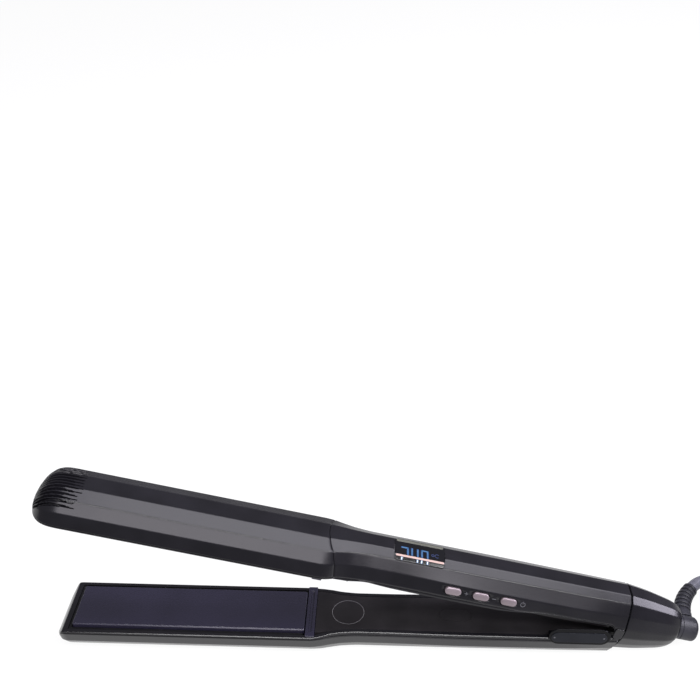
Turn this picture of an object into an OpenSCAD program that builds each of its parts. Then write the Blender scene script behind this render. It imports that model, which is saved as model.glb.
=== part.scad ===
// Hair straightener with two hinged arms, floating plates and a swivel cord.
// Millimetres. +X runs from the tip to the cord end, +Z is up, the lower arm lies on z = 0.
// The arms are drawn closed; the upper one is then turned about the hinge by open_angle.

/* [Hinge] */
// Distance of the hinge axis behind the origin
pivot_x = 130; // [110:0.5:150]
// Opening angle at rest, in degrees
open_angle = 12.7; // [0:0.1:20]
// Radius of the hinge pin
pin_r = 2; // [1:0.1:3]
// Radial clearance of the hinge knuckle on its pin
pin_gap = 0.06; // [0.02:0.01:0.1]

/* [Arms] */
// Depth of one arm, from the plates' contact plane to its outer face
arm_depth = 15.4; // [12:0.1:20]
// Half width of the casing beside the plates
wide_half = 15.8; // [13:0.1:20]
// Half width of the casing along the handle
handle_half = 12.6; // [10:0.1:16]
// Casing wall thickness
wall = 2; // [1:0.1:3]
// Height of the casing's rim above the contact plane
rim_z = 0.5; // [0.2:0.1:2]
// Height of the rims beside the plates above the contact plane
plate_rim = 1.4; // [1:0.1:1.8]
// Length of the upper nose in front of the origin
nose_upper = 141.4; // [130:0.1:150]
// Length of the lower nose in front of the origin
nose_lower = 131.2; // [128:0.1:150]
// Rear end of the upper casing
upper_end = 120.4; // [110:0.1:125]
// Rear end of the lower casing, measured at the hinge's own lean
lower_end = 120.2; // [110:0.1:125]
// Place of the seam between the front and rear upper casings
seam_x = -13.4; // [-20:0.1:0]
// Radius of the seam's bow
seam_r = 22; // [21:1:60]

/* [Plates] */
// Front end of the heating plates
plate_front = -124.2; // [-130:0.1:-110]
// Rear end of the heating plates
plate_rear = -19.8; // [-30:0.1:-10]
// Half width of a heating plate
plate_half = 12; // [8:0.1:14]
// Thickness of a heating plate
plate_thick = 3; // [2:0.1:5]
// Gap from a plate's face to the contact plane
plate_gap = 0.1; // [0.05:0.05:0.5]
// Floating travel of a plate
plate_travel = 1; // [0.3:0.1:2]

/* [Controls] */
// Front edge of the display window
window_front = 13.6; // [5:0.1:30]
// Rear edge of the display window
window_rear = 35.8; // [30:0.1:50]
// First button's place
button_first = 41.5; // [38:0.1:50]
// Distance between buttons
button_pitch = 12.4; // [10:0.1:16]
// Length of a button
button_long = 7.2; // [5:0.1:9]
// Width of a button
button_wide = 3.4; // [2:0.1:5]
// Travel of a button
button_travel = 0.4; // [0.2:0.1:1]

/* [Tail] */
// Front face of the tail cap
cap_front = 121; // [118:0.1:125]
// Rear face of the tail cap
cap_rear = 147.2; // [140:0.1:155]
// Radius of the swivel barrel
barrel_r = 5.4; // [4:0.1:7]
// Rear end of the swivel barrel
barrel_end = 157; // [150:0.1:165]

/* [Cord] */
// Cord diameter
cord_d = 5.4; // [4:0.1:8]
// Bend radius of the hank's innermost turn
hank_in = 16.2; // [16:0.1:24]
// Straight run along the hank's sides
hank_run = 32; // [20:1:80]
// Turns in each layer of the hank
layer_turns = 2; // [1:1:3]
// Number of layers in the hank
hank_layers = 6; // [4:2:8]
// Centre of the hank's near round end, along X
hank_x = 202; // [195:1:240]
// Middle line of the hank, along Y
hank_y = 8; // [-10:1:20]

/* [Hidden] */
floor_to_plane = arm_depth;
cord_r = cord_d / 2;
row = cord_d + 0.05;
hank_out = hank_in + layer_turns * cord_d;
hank_high = cord_d + (hank_layers - 1) * row;

// ---- placing ----
module in_upper() {
  translate([pivot_x, 0, floor_to_plane])
    rotate([0, open_angle, 0])
      translate([-pivot_x, 0, 0])
        children();
}

module in_lower() {
  translate([0, 0, floor_to_plane])
    mirror([0, 0, 1])
      children();
}

// ---- lofted casing ----
// A station is [x, rim, side, shoulder, crown, low z, high z]: half widths at the creases.
function wide(x, k, lo, hi) =
  [x, wide_half * k, 14.2 * k, 10.7 * k, 4.3 * k, lo, hi];

body_stations = [
  [-120, wide_half, 14.2, 10.7, 4.3, rim_z, arm_depth],
  [-17.5, wide_half, 14.2, 10.7, 4.3, rim_z, arm_depth],
  [seam_x, wide_half - 0.6, 13.6, 10.4, 4.2, rim_z, arm_depth],
  [-8, 13.8, 12.2, 9.2, 3.9, rim_z, arm_depth],
  [-3, 12.8, 11.2, 8.2, 3.6, rim_z, arm_depth],
  [5, 12.2, 10.6, 7.6, 3.4, rim_z, arm_depth],
  [15, 12.2, 10.6, 7.6, 3.4, rim_z, arm_depth],
  [50, handle_half, 11.2, 7.6, 3.4, rim_z, arm_depth],
  [95, handle_half, 10.9, 7.3, 3.4, rim_z, arm_depth],
  [126, 11.6, 9.5, 6.9, 3.4, rim_z, arm_depth]
];

upper_nose = [
  wide(-nose_upper, 0.22, rim_z, 3.2),
  wide(-nose_upper + 0.8, 0.46, rim_z, 6),
  wide(-nose_upper + 2.2, 0.68, rim_z, 9.2),
  wide(-nose_upper + 3.9, 0.82, rim_z, 11.7),
  wide(-nose_upper + 5.6, 0.90, rim_z, 13.1),
  wide(-nose_upper + 8, 0.965, rim_z, 14.4),
  wide(-nose_upper + 11, 0.995, rim_z, 15.15),
  wide(-nose_upper + 15, 1, rim_z, arm_depth)
];

lower_nose = [
  wide(-nose_lower, 0.72, 6, 11.4),
  wide(-nose_lower + 0.8, 0.84, 3.6, 13.2),
  wide(-nose_lower + 2, 0.93, 1.4, 14.3),
  wide(-nose_lower + 3.2, 0.97, rim_z, 14.9),
  wide(-nose_lower + 6, 1, rim_z, arm_depth)
];

function level(s, z) = s[5] + (z - rim_z) * (s[6] - s[5]) / (arm_depth - rim_z);

function half_ring(s) = [
  [s[1], level(s, rim_z)],
  [s[1], level(s, 3)],
  [s[2], level(s, 8.5)],
  [s[3], level(s, 13.3)],
  [s[4], level(s, arm_depth)]
];

function inner_half(s) = [
  [s[1] - wall, -3],
  [s[1] - wall, 3.1],
  [s[2] - wall, 7.6],
  [s[3] - wall - 0.3, 11.4],
  [s[4] - 0.3, arm_depth - wall]
];

function full_ring(x, h) = concat(
  [for (p = h) [x, p[0], p[1]]],
  [for (i = [len(h) - 1:-1:0]) [x, -h[i][0], h[i][1]]]
);

module loft(rings) {
  m = len(rings[0]);
  n = len(rings);
  points = [for (r = rings) for (p = r) p];
  sides = [
    for (i = [0:n - 2]) for (j = [0:m - 1])
      let (a = i * m + j, b = i * m + (j + 1) % m)
        let (c = b + m, d = a + m)
          each [[a, d, c], [a, c, b]]
  ];
  front = [[for (j = [0:m - 1]) j]];
  back = [[for (j = [m - 1:-1:0]) (n - 1) * m + j]];
  polyhedron(points = points, faces = concat(front, sides, back), convexity = 6);
}

module outer_loft(nose) {
  loft([for (s = concat(nose, body_stations)) full_ring(s[0], half_ring(s))]);
}

module inner_loft() {
  inner = concat([wide(-125, 1, 0, 0)], body_stations, [[128, 11.6, 9.5, 6.9, 3.4, 0, 0]]);
  loft([for (s = inner) full_ring(s[0], inner_half(s))]);
}

// Box between two corners
module span(a, b) {
  translate(a)
    cube([b[0] - a[0], b[1] - a[1], b[2] - a[2]]);
}

// Stadium prism along Z, its length along X
module stadium(long, wid, high) {
  r = wid / 2;
  run = long / 2 - r;
  translate([-run, -r, 0])
    cube([2 * run, wid, high]);
  for (s = [-1, 1])
    translate([s * run, 0, 0])
      cylinder(r = r, h = high, $fn = 32);
}

// Box with rounded vertical edges
module soft_box(a, b, r) {
  span([a[0] + r, a[1], a[2]], [b[0] - r, b[1], b[2]]);
  span([a[0], a[1] + r, a[2]], [b[0], b[1] - r, b[2]]);
  for (x = [a[0] + r, b[0] - r])
    for (y = [a[1] + r, b[1] - r])
      translate([x, y, a[2]])
        cylinder(r = r, h = b[2] - a[2], $fn = 24);
}

// Frame on the side facet where the buttons sit: x along the arm, z out of the facet
side_tilt = 14.8;
module on_side(x, out = 0) {
  translate([x, -11.85, 5.9])
    rotate([90 - side_tilt, 0, 0])
      translate([0, 0, out])
        children();
}

// ---- parts both arms share ----
module casing_cavity() {
  inner_loft();
  // plate bay
  span([plate_front - 1.4, -wide_half + wall, -3], [-20, wide_half - wall, 3]);
  // beside the plates and the crossbar the rims stand back from the contact plane
  translate([0, 20, 0])
    rotate([90, 0, 0])
      linear_extrude(height = 40)
        polygon([[-150, -2], [-150, plate_rim], [-15, plate_rim], [-8, rim_z], [-8, -2]]);
}

// Casings are trimmed to these lengths
module casing_trim(nose_len) {
  span([-nose_len - 1, -20, -1], [upper_end, 20, 20]);
}

module tray() {
  difference() {
    span([-125.6, -13.7, plate_rim + 0.5], [-20.5, 13.7, 3.0]);
    span([-124.35, -12.25, 1], [-16, 12.25, 4]);
  }
  difference() {
    span([-124.6, -12.6, 3.0], [-20.5, 12.6, 6.3]);
    span([-124.2, -12.2, 2.5], [-16, 12.2, 5.6]);
  }
}

module heating_plate() {
  bevel = 0.9;
  rotate([90, 0, 90])
    translate([0, 0, plate_front])
      linear_extrude(height = plate_rear - plate_front)
        polygon([
          [-plate_half + bevel, plate_gap], [plate_half - bevel, plate_gap],
          [plate_half, plate_gap + bevel], [plate_half, plate_gap + plate_thick],
          [-plate_half, plate_gap + plate_thick], [-plate_half, plate_gap + bevel]
        ]);
}

module heater() {
  span([-112, -8, plate_gap + plate_thick], [-32, 8, plate_gap + plate_thick + 1]);
}

module sensor() {
  z = plate_gap + plate_thick + 1;
  for (x = [-90, -54])
    translate([x, 0, z])
      cylinder(r = 1.5, h = 0.4, $fn = 24);
}

module helix(turns, r, wire, high, sides, steps) {
  n = turns * steps;
  pts = [
    for (i = [0:n]) let (a = 360 * i / steps, z = high * i / n)
      for (k = [0:sides - 1]) let (b = 360 * k / sides)
        [(r + wire * cos(b)) * cos(a), (r + wire * cos(b)) * sin(a), z + wire * sin(b)]
  ];
  body = [
    for (i = [0:n - 1]) for (k = [0:sides - 1])
      let (a = i * sides + k, b = i * sides + (k + 1) % sides)
        each [[a, b, b + sides], [a, b + sides, a + sides]]
  ];
  first = [[for (k = [sides - 1:-1:0]) k]];
  last = [[for (k = [0:sides - 1]) n * sides + k]];
  polyhedron(points = pts, faces = concat(first, body, last), convexity = 8);
}

module float_springs() {
  for (x = [-104, -40])
    for (y = [-10, 10])
      translate([x, y, 3.45])
        helix(2.5, 1.3, 0.28, 0.8 + plate_travel, 5, 8);
}

// Bar that closes the frame behind a plate; its lugs lie on the rims
module crossbar() {
  difference() {
    union() {
      span([-19.4, -13.3, 0.5], [-15.2, 13.3, 3]);
      span([-19.4, -15.2, 0.5], [-15.2, 15.2, plate_rim]);
    }
    span([-17.9, -12.6, 0.1], [-16.7, 12.6, 0.9]);
  }
}

// Handle cover between the casing's rims
module panel() {
  edge = [
    for (s = body_stations)
      if (s[0] > -10 && s[0] < 120)
        [s[0], s[1] - wall - 0.15]
  ];
  outline = concat([[-15, 12.6], [-13, 12.6]], edge, [[114, 9.9]]);
  translate([0, 0, 0.7])
    linear_extrude(height = 1.6)
      polygon(concat(outline, [for (i = [len(outline) - 1:-1:0]) [outline[i][0], -outline[i][1]]]));
}

module screws(places, top) {
  for (p = places)
    translate([p[0], p[1], top])
      difference() {
        cylinder(r = p[2], h = 0.9, $fn = 32);
        translate([-p[2] * 0.6, -0.2, -0.5])
          cube([p[2] * 1.2, 0.4, 0.9]);
      }
}

module screw_holes(places, top) {
  for (p = places)
    translate([p[0], p[1], 0])
      cylinder(r = p[2] + 0.02, h = top + 0.9, $fn = 32);
}

// The upper cover's screws lie open, the lower cover's lie under its round cap and its pad
open_screws = [[22, 5, 1.4], [22, -5, 1.4], [72, 0, 1.4]];
open_top = 0.72;
covered_screws = [[-0.6, 0, 1.4], [44, 0, 1.4], [52, 0, 1.4]];
covered_top = 1.32;
cap_x = -0.6;
cap_r = 7.3;
pad_x = 48;

// ---- lower arm ----
module lower_casing() {
  color([0.05, 0.05, 0.06])
    union() {
      difference() {
        in_lower()
          difference() {
            intersection() {
              outer_loft(lower_nose);
              casing_trim(nose_lower);
            }
            casing_cavity();
          }
        in_upper()
          span([lower_end - 0.3, -20, -30], [160, 20, 30]);
        for (s = [-1, 1])
          translate([badge_x, s * 12.6, 0])
            span([-13.6, -2.6, floor_to_plane - 3.2], [13.6, 2.6, floor_to_plane + 5]);
      }
      // hinge tongue, reaching into the tail cap
      difference() {
        union() {
          span([96, -6, floor_to_plane - 6], [pivot_x, 3, floor_to_plane - 2.6]);
          translate([pivot_x, 3, floor_to_plane])
            rotate([90, 0, 0])
              cylinder(r = 5, h = 9, $fn = 48);
          span([96, -6, 1.5], [103, 3, floor_to_plane - 4]);
        }
        translate([pivot_x, 20, floor_to_plane])
          rotate([90, 0, 0])
            cylinder(r = pin_r + pin_gap, h = 40, $fn = 48);
      }
    }
}

module lower_panel() {
  color([0.10, 0.10, 0.11])
    in_lower()
      difference() {
        panel();
        screw_holes(covered_screws, covered_top);
        translate([pad_x, 0, 0.5])
          stadium(14.5, 7.4, 0.8);
        translate([cap_x, 0, 0.5])
          cylinder(r = cap_r + 0.2, h = 0.8, $fn = 64);
      }
}

module lower_panel_pad() {
  color([0.07, 0.07, 0.08])
    in_lower()
      translate([pad_x, 0, 0.72])
        stadium(14.2, 7.1, 0.58);
}

module lower_panel_cap() {
  color([0.10, 0.10, 0.11])
    in_lower()
      translate([cap_x, 0, 0.72])
        cylinder(r = cap_r, h = 0.58, $fn = 64);
}

module lower_tray() {
  color([0.12, 0.12, 0.13])
    in_lower()
      tray();
}

module lower_crossbar() {
  color([0.14, 0.14, 0.15])
    in_lower()
      crossbar();
}

module lower_plate() {
  color([0.20, 0.19, 0.30])
    in_lower()
      heating_plate();
}

module lower_heater() {
  color([0.85, 0.83, 0.78])
    in_lower()
      heater();
}

module lower_sensor() {
  color([0.75, 0.76, 0.78])
    in_lower()
      sensor();
}

module lower_float_springs() {
  color([0.7, 0.7, 0.72])
    in_lower()
      float_springs();
}

module lower_screws() {
  color([0.3, 0.3, 0.32])
    in_lower()
      screws(covered_screws, covered_top);
}

// Hinge side badge: a block let into the lower rim, with a thin lap over the upper arm's side
badge_x = 101.7;
module badge_block(s) {
  translate([badge_x, 0, floor_to_plane])
    intersection() {
      translate([0, s * 13.4, 1.3])
        rotate([90, 0, 0])
          translate([0, 0, -3])
            stadium(27, 9, 6);
      union() {
        span([-14, s > 0 ? 10.8 : -13.4, -3.2], [14, s > 0 ? 13.4 : -10.8, 2.3]);
        span([-14, s > 0 ? 12.95 : -13.4, 2], [14, s > 0 ? 13.4 : -12.95, 6]);
      }
    }
}

module badge_face(s) {
  translate([badge_x - 0.3, s * 13.55, floor_to_plane + 1.2])
    rotate([90, 0, 0])
      translate([0, 0, -0.15])
        stadium(25.2, 6.2, 0.3);
}

module badge_near() {
  color([0.03, 0.03, 0.03])
    badge_block(-1);
}

module badge_near_face() {
  color([0.16, 0.16, 0.18])
    badge_face(-1);
}

module badge_far() {
  color([0.03, 0.03, 0.03])
    badge_block(1);
}

module badge_far_face() {
  color([0.16, 0.16, 0.18])
    badge_face(1);
}

// Supply wires of the lower heater, along the casing's inside
module heater_wires() {
  color([0.6, 0.1, 0.1])
    in_lower()
      for (y = [-3, 3])
        translate([-18, y, 9.5])
          rotate([0, 90, 0])
            cylinder(r = 0.8, h = 112, $fn = 16);
}

// ---- upper arm ----
module upper_shell() {
  difference() {
    intersection() {
      outer_loft(upper_nose);
      casing_trim(nose_upper);
    }
    casing_cavity();
  }
}

// Lens-shaped seam between the two upper casings, bowed towards the tip
module seam_zone() {
  translate([seam_x - 2 + seam_r, 0, -5])
    cylinder(r = seam_r, h = 30, $fn = 120);
  span([seam_x + 18, -30, -5], [upper_end + 10, 30, 25]);
}

module upper_casing_front() {
  color([0.05, 0.05, 0.06])
    in_upper()
      difference() {
        upper_shell();
        seam_zone();
      }
}

module upper_casing_rear() {
  color([0.05, 0.05, 0.06])
    in_upper()
      difference() {
        intersection() {
          upper_shell();
          translate([0.25, 0, 0])
            seam_zone();
        }
        // display window's seat
        window_prism(0.05, 3);
        window_hole();
        // button openings
        for (i = [0:2])
          on_side(button_first + i * button_pitch, -3)
            stadium(button_long + 0.5, button_wide + 0.5, 8);
        // arch over the hinge side badge
        translate([badge_x, 30, -1.5])
          rotate([90, 0, 0])
            stadium(31.6, 9.2, 60);
      }
}

module upper_panel() {
  color([0.10, 0.10, 0.11])
    in_upper()
      difference() {
        panel();
        screw_holes(open_screws, open_top);
      }
}

module upper_tray() {
  color([0.12, 0.12, 0.13])
    in_upper()
      tray();
}

module upper_crossbar() {
  color([0.14, 0.14, 0.15])
    in_upper()
      crossbar();
}

module upper_plate() {
  color([0.20, 0.19, 0.30])
    in_upper()
      heating_plate();
}

module upper_heater() {
  color([0.85, 0.83, 0.78])
    in_upper()
      heater();
}

module upper_sensor() {
  color([0.75, 0.76, 0.78])
    in_upper()
      sensor();
}

module upper_float_springs() {
  color([0.7, 0.7, 0.72])
    in_upper()
      float_springs();
}

module upper_screws() {
  color([0.3, 0.3, 0.32])
    in_upper()
      screws(open_screws, open_top);
}

// Small rubber stop that meets the lower rim when the arms close
module upper_stop_pad() {
  color([0.05, 0.05, 0.05])
    in_upper()
      for (y = [-11.6, 11.6])
        translate([-4, y, 0.15])
          cylinder(r = 0.6, h = 0.35, $fn = 24);
}

// ---- display ----

module window_prism(grow, high) {
  intersection() {
    translate([window_front - grow, 0, 0])
      rotate([90, 0, 90])
        linear_extrude(height = window_rear - window_front + 2 * grow)
          polygon([
            [3.8 + grow, 14.2 - grow], [3.8 + grow, arm_depth + 0.12 + high],
            [-2.6, arm_depth + 0.12 + high], [-4.1, arm_depth - 0.2 + high],
            [-7.7 - grow, 13.4 + high], [-7.7 - grow, 12.2 - grow],
            [-4.1, 14.0 - grow], [-2.6, 14.2 - grow]
          ]);
    soft_box(
      [window_front - grow, -7.7 - grow, 8], [window_rear + grow, 3.8 + grow, 24], 1.5 + grow
    );
  }
}

module window_hole() {
  span([window_front + 1.2, -5.4, 9], [window_rear - 1.2, 2.4, 16]);
}

module display_window() {
  color([0.02, 0.02, 0.03])
    in_upper()
      window_prism(0, 0);
}

module display_module() {
  color([0.15, 0.3, 0.2])
    in_upper()
      span([window_front + 1.4, -4.9, 10.2], [window_rear - 1.4, 1.6, 12.0]);
}

// Seven-segment strokes: upper half on the crown facet, lower half on the bevel below it
digit_w = 3.1;
digit_h = 3.4;
stroke = 0.62;
lower_pitch = 24;

module upper_seg(x, kind) {
  at = [x, 0.9, arm_depth + 0.12];
  translate(at)
    if (kind == "top")
      translate([0, -stroke, 0])
        cube([digit_w, stroke, 0.12]);
    else if (kind == "left")
      translate([0, -digit_h, 0])
        cube([stroke, digit_h, 0.12]);
    else
      translate([digit_w - stroke, -digit_h, 0])
        cube([stroke, digit_h, 0.12]);
}

module lower_seg(x, kind) {
  translate([x, -4.15, arm_depth - 0.2])
    rotate([lower_pitch, 0, 0])
      if (kind == "bottom")
        translate([0, -digit_h + 0.6, 0])
          cube([digit_w, stroke, 0.12]);
      else if (kind == "left")
        translate([0, -digit_h + 0.6, 0])
          cube([stroke, digit_h - 0.6, 0.12]);
      else
        translate([digit_w - stroke, -digit_h + 0.6, 0])
          cube([stroke, digit_h - 0.6, 0.12]);
}

module display_digits() {
  color([0.35, 0.6, 1.0])
    in_upper() {
      upper_seg(16.6, "top");
      upper_seg(16.6, "right");
      lower_seg(16.6, "left");
      lower_seg(16.6, "bottom");
      upper_seg(21.2, "left");
      upper_seg(21.2, "right");
      lower_seg(21.2, "right");
      upper_seg(25.8, "top");
      upper_seg(25.8, "left");
      upper_seg(25.8, "right");
      lower_seg(25.8, "left");
      lower_seg(25.8, "right");
      lower_seg(25.8, "bottom");
      // degree ring
      translate([31.0, -0.9, arm_depth + 0.12])
        difference() {
          cylinder(r = 0.9, h = 0.12, $fn = 24);
          translate([0, 0, -1])
            cylinder(r = 0.5, h = 3, $fn = 24);
        }
    }
}

module control_board() {
  color([0.1, 0.35, 0.2])
    in_upper()
      span([10, -7.4, 2.6], [84, 8.4, 3.8]);
}

module button_switches() {
  color([0.2, 0.2, 0.2])
    in_upper()
      for (i = [0:2])
        translate([button_first + i * button_pitch - 2.4, -8.2, 3.8])
          cube([4.8, 3, 2.8]);
}

// Button: a cap standing proud of the side facet, with a stem inside
module one_button(i) {
  color([0.86, 0.80, 0.80])
    in_upper()
      on_side(button_first + i * button_pitch, 0)
        union() {
          translate([0, 0, -0.9])
            stadium(button_long, button_wide, 1.35 + button_travel);
          translate([0, 0, -3])
            cylinder(r = 1, h = 2.4, $fn = 24);
        }
}

module button_plus() {
  one_button(0);
}

module button_minus() {
  one_button(1);
}

module button_power() {
  one_button(2);
}

module button_marks() {
  color([0.8, 0.8, 0.82])
    in_upper() {
      on_side(button_first + 5.9, 0.02) {
        translate([-0.8, -0.12, 0])
          cube([1.6, 0.24, 0.14]);
        translate([-0.12, -0.8, 0])
          cube([0.24, 1.6, 0.14]);
      }
      on_side(button_first + button_pitch + 5.9, 0.02)
        translate([-0.8, -0.12, 0])
          cube([1.6, 0.24, 0.14]);
      on_side(button_first + 2 * button_pitch + 6.4, 0.02) {
        difference() {
          cylinder(r = 1.1, h = 0.14, $fn = 32);
          translate([0, 0, -1])
            cylinder(r = 0.86, h = 3, $fn = 32);
          translate([-0.35, 0, -1])
            cube([0.7, 2, 3]);
        }
        translate([-0.12, 0.2, 0])
          cube([0.24, 1.2, 0.14]);
      }
    }
}

// ---- tail ----
cap_stations = [
  [cap_front, 1], [130, 0.92], [137.5, 0.82], [142, 0.75], [145, 0.67], [146.4, 0.61], [cap_rear, 0.53]
];

function cap_half(k) = [
  [3.4 * k, -15.4 * k], [6.9 * k, -13.3 * k], [9.5 * k, -8.5 * k], [11.6 * k, -2.5 * k],
  [11.6 * k, 2.5 * k], [9.5 * k, 8.5 * k], [6.9 * k, 13.3 * k], [3.4 * k, 15.4 * k]
];

module tail_cap() {
  color([0.06, 0.06, 0.07])
    in_upper()
      difference() {
        loft([for (s = cap_stations) full_ring(s[0], cap_half(s[1]))]);
        // hollow that the hinge tongue turns in
        span([119, -6.2, -8.5], [136.2, 6.2, 8.5]);
        // seat of the swivel bush and its shaft
        translate([136, 0, 0])
          rotate([0, 90, 0])
            cylinder(r = 5, h = 10, $fn = 48);
        translate([140, 0, 0])
          rotate([0, 90, 0])
            cylinder(r = 3.8, h = 12, $fn = 48);
        translate([pivot_x, 9.2, 0])
          rotate([90, 0, 0])
            cylinder(r = pin_r, h = 18.4, $fn = 48);
      }
}

module hinge_pin() {
  color([0.75, 0.75, 0.78])
    in_upper()
      translate([pivot_x, 9.2, 0])
        rotate([90, 0, 0])
          cylinder(r = pin_r, h = 18.4, $fn = 48);
}

module return_spring() {
  color([0.6, 0.6, 0.62])
    in_upper()
      translate([pivot_x, 6.0, 0])
        rotate([90, 0, 0])
          translate([0, 0, 0.45])
            helix(2, 3.3, 0.42, 1.9, 6, 12);
}

module swivel_bush() {
  color([0.8, 0.78, 0.7])
    in_upper()
      translate([138.6, 0, 0])
        rotate([0, 90, 0])
          difference() {
            cylinder(r = 5, h = 7.4, $fn = 48);
            translate([0, 0, -1])
              cylinder(r = 3.05, h = 12, $fn = 48);
          }
}

module swivel_barrel() {
  color([0.08, 0.08, 0.09])
    in_upper()
      translate([pivot_x, 0, 0])
        rotate([0, 90, 0])
          rotate_extrude($fn = 64)
            polygon([
              [0, 7.2], [4.2, 7.2], [4.2, 8.4], [3, 8.4], [3, 17.6],
              [barrel_r - 0.3, 17.6], [barrel_r, 17.9], [barrel_r, barrel_end - pivot_x - 1.6],
              [barrel_r - 0.3, barrel_end - pivot_x - 0.75],
              [barrel_r - 0.8, barrel_end - pivot_x - 0.25],
              [barrel_r - 1.6, barrel_end - pivot_x], [0, barrel_end - pivot_x]
            ]);
}

// Ribbed strain relief, leaving the barrel's far side on an arc
relief_start = [152.4, 4.2, 10.4];
relief_from = 88;
relief_to = 47;
relief_bend = 32.1;
relief_ribs = 8;

function relief_at(t) = let (h = relief_from + (relief_to - relief_from) * t)
  [
    relief_start[0] + relief_bend * (sin(relief_from) - sin(h)),
    relief_start[1] + relief_bend * (cos(h) - cos(relief_from)),
    relief_start[2]
  ];

module relief_disc(t, r, h) {
  heading = relief_from + (relief_to - relief_from) * t;
  translate(relief_at(t))
    rotate([0, 90, heading])
      cylinder(r = r, h = h, center = true, $fn = 32);
}

module strain_relief() {
  color([0.06, 0.06, 0.06])
    difference() {
      union() {
        for (i = [0:relief_ribs])
          relief_disc(0.12 + 0.88 * i / relief_ribs - 0.02, 3.3 - 0.06 * i, 3.2);
        for (i = [1:relief_ribs])
          relief_disc(0.12 + 0.88 * i / relief_ribs - 0.04, 4.1 - 0.09 * i, 1.5);
        relief_disc(0.1, 4.1, 4.4);
      }
      translate(relief_at(1) + 1.15 * [cos(relief_to), sin(relief_to), 0])
        rotate([0, 90, relief_to])
          cylinder(r = 20, h = 10, $fn = 32);
    }
}

// ---- cord ----
lead_points = [
  [161.1, 25.1, 10.4], [163.1, 27.3, 10.3], [166.2, 30.1, 9.8], [169.8, 32.4, 8.9],
  [173.7, 33.9, 7.7], [177.9, 34.8, 6.4], [182, 35, 5.2], [186, 35, 4.2], [190, 35, 3.5],
  [194, 35, 3], [198, 35, 2.8], [202, 35, 2.7]
];

// The end leaves the top layer and comes down to the floor, beyond the hank
plug_x = 303;
plug_y = 20;
plug_z = 6.85;
end_points = [
  [234, 35, 29.95], [241, 34.6, 29.4], [248, 33.4, 27.9], [255, 31.6, 25.2], [262, 29.3, 21.6],
  [269, 26.8, 17.6], [276, 24.4, 13.8], [283, 22.2, 10.7], [290, 20.7, 8.4], [297, 20.1, 7.2],
  [plug_x, plug_y, plug_z]
];

function unit(v) = v / norm(v);
function tangent(p, i) = unit(p[min(i + 1, len(p) - 1)] - p[max(i - 1, 0)]);

module tube(p, r, sides) {
  n = len(p);
  pts = [
    for (i = [0:n - 1])
      let (t = tangent(p, i), u = unit(cross([0, 0, 1], t)), v = cross(t, u))
        for (k = [0:sides - 1])
          p[i] + r * (cos(360 * k / sides) * u + sin(360 * k / sides) * v)
  ];
  body = [
    for (i = [0:n - 2]) for (k = [0:sides - 1])
      let (a = i * sides + k, b = i * sides + (k + 1) % sides)
        each [[a, a + sides, b + sides], [a, b + sides, b]]
  ];
  first = [[for (k = [0:sides - 1]) k]];
  last = [[for (k = [sides - 1:-1:0]) (n - 1) * sides + k]];
  polyhedron(points = pts, faces = concat(first, body, last), convexity = 8);
}

module cord_lead() {
  color([0.05, 0.05, 0.05])
    tube(lead_points, cord_r, 12);
}

// Outline of the hank at a distance from its middle line
module hank_outline(r, high) {
  translate([hank_x + hank_run / 2, hank_y, 0])
    stadium(hank_run + 2 * r, 2 * r, high);
}

module cord_hank() {
  color([0.05, 0.05, 0.05])
    difference() {
      union() {
        hank_outline(hank_out + cord_r - 1.2, hank_high);
        translate([0, 0, 1.2])
          hank_outline(hank_out + cord_r, hank_high - 2.4);
      }
      translate([0, 0, -1])
        hank_outline(hank_in - cord_r, hank_high + 2);
    }
}

module cord_end() {
  color([0.05, 0.05, 0.05])
    tube(end_points, cord_r, 12);
}

// Band round the middle of the hank
module cord_tie() {
  edge = hank_out + cord_r;
  color([0.08, 0.08, 0.08])
    translate([hank_x + hank_run / 2, hank_y, 0])
      difference() {
        span([-6, -edge - 0.6, 0], [6, edge + 0.6, hank_high + 0.6]);
        span([-7, -edge, 0.6], [7, edge, hank_high]);
      }
}

// Two-pin mains plug, lying on the floor beyond the hank
module plug_body() {
  color([0.06, 0.06, 0.06])
    translate([plug_x, plug_y, 0])
      union() {
        translate([0, 0, plug_z])
          rotate([0, 90, 0])
            cylinder(r1 = 3.6, r2 = 5, h = 10.4, $fn = 32);
        intersection() {
          linear_extrude(height = 13.7)
            polygon([
              [9, 6], [13, 10.5], [20, 13], [34, 13.4], [35, 12.6],
              [35, -12.6], [34, -13.4], [20, -13], [13, -10.5], [9, -6]
            ]);
          translate([0, 20, 0])
            rotate([90, 0, 0])
              linear_extrude(height = 40)
                polygon([
                  [9, 2.2], [14, 0.4], [20, 0], [34, 0], [35, 0.8],
                  [35, 12.9], [34, 13.7], [20, 13.7], [14, 13.3], [9, 11.5]
                ]);
        }
      }
}

module plug_pins() {
  color([0.8, 0.8, 0.8])
    for (s = [-1, 1])
      translate([plug_x + 35, plug_y + s * 9.3, plug_z])
        rotate([0, 90, 0])
          union() {
            cylinder(r = 2, h = 18.4, $fn = 32);
            translate([0, 0, 18.4])
              cylinder(r1 = 2, r2 = 1.4, h = 0.6, $fn = 32);
          }
}

lower_casing();
lower_panel();
lower_panel_cap();
lower_panel_pad();
lower_tray();
lower_crossbar();
lower_plate();
lower_heater();
lower_sensor();
lower_float_springs();
lower_screws();
badge_near();
badge_near_face();
badge_far();
badge_far_face();
heater_wires();
upper_casing_front();
upper_casing_rear();
upper_panel();
upper_tray();
upper_crossbar();
upper_plate();
upper_heater();
upper_sensor();
upper_float_springs();
upper_screws();
upper_stop_pad();
display_window();
display_module();
display_digits();
control_board();
button_switches();
button_plus();
button_minus();
button_power();
button_marks();
tail_cap();
hinge_pin();
return_spring();
swivel_bush();
swivel_barrel();
strain_relief();
cord_lead();
cord_hank();
cord_end();
cord_tie();
plug_body();
plug_pins();
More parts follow.
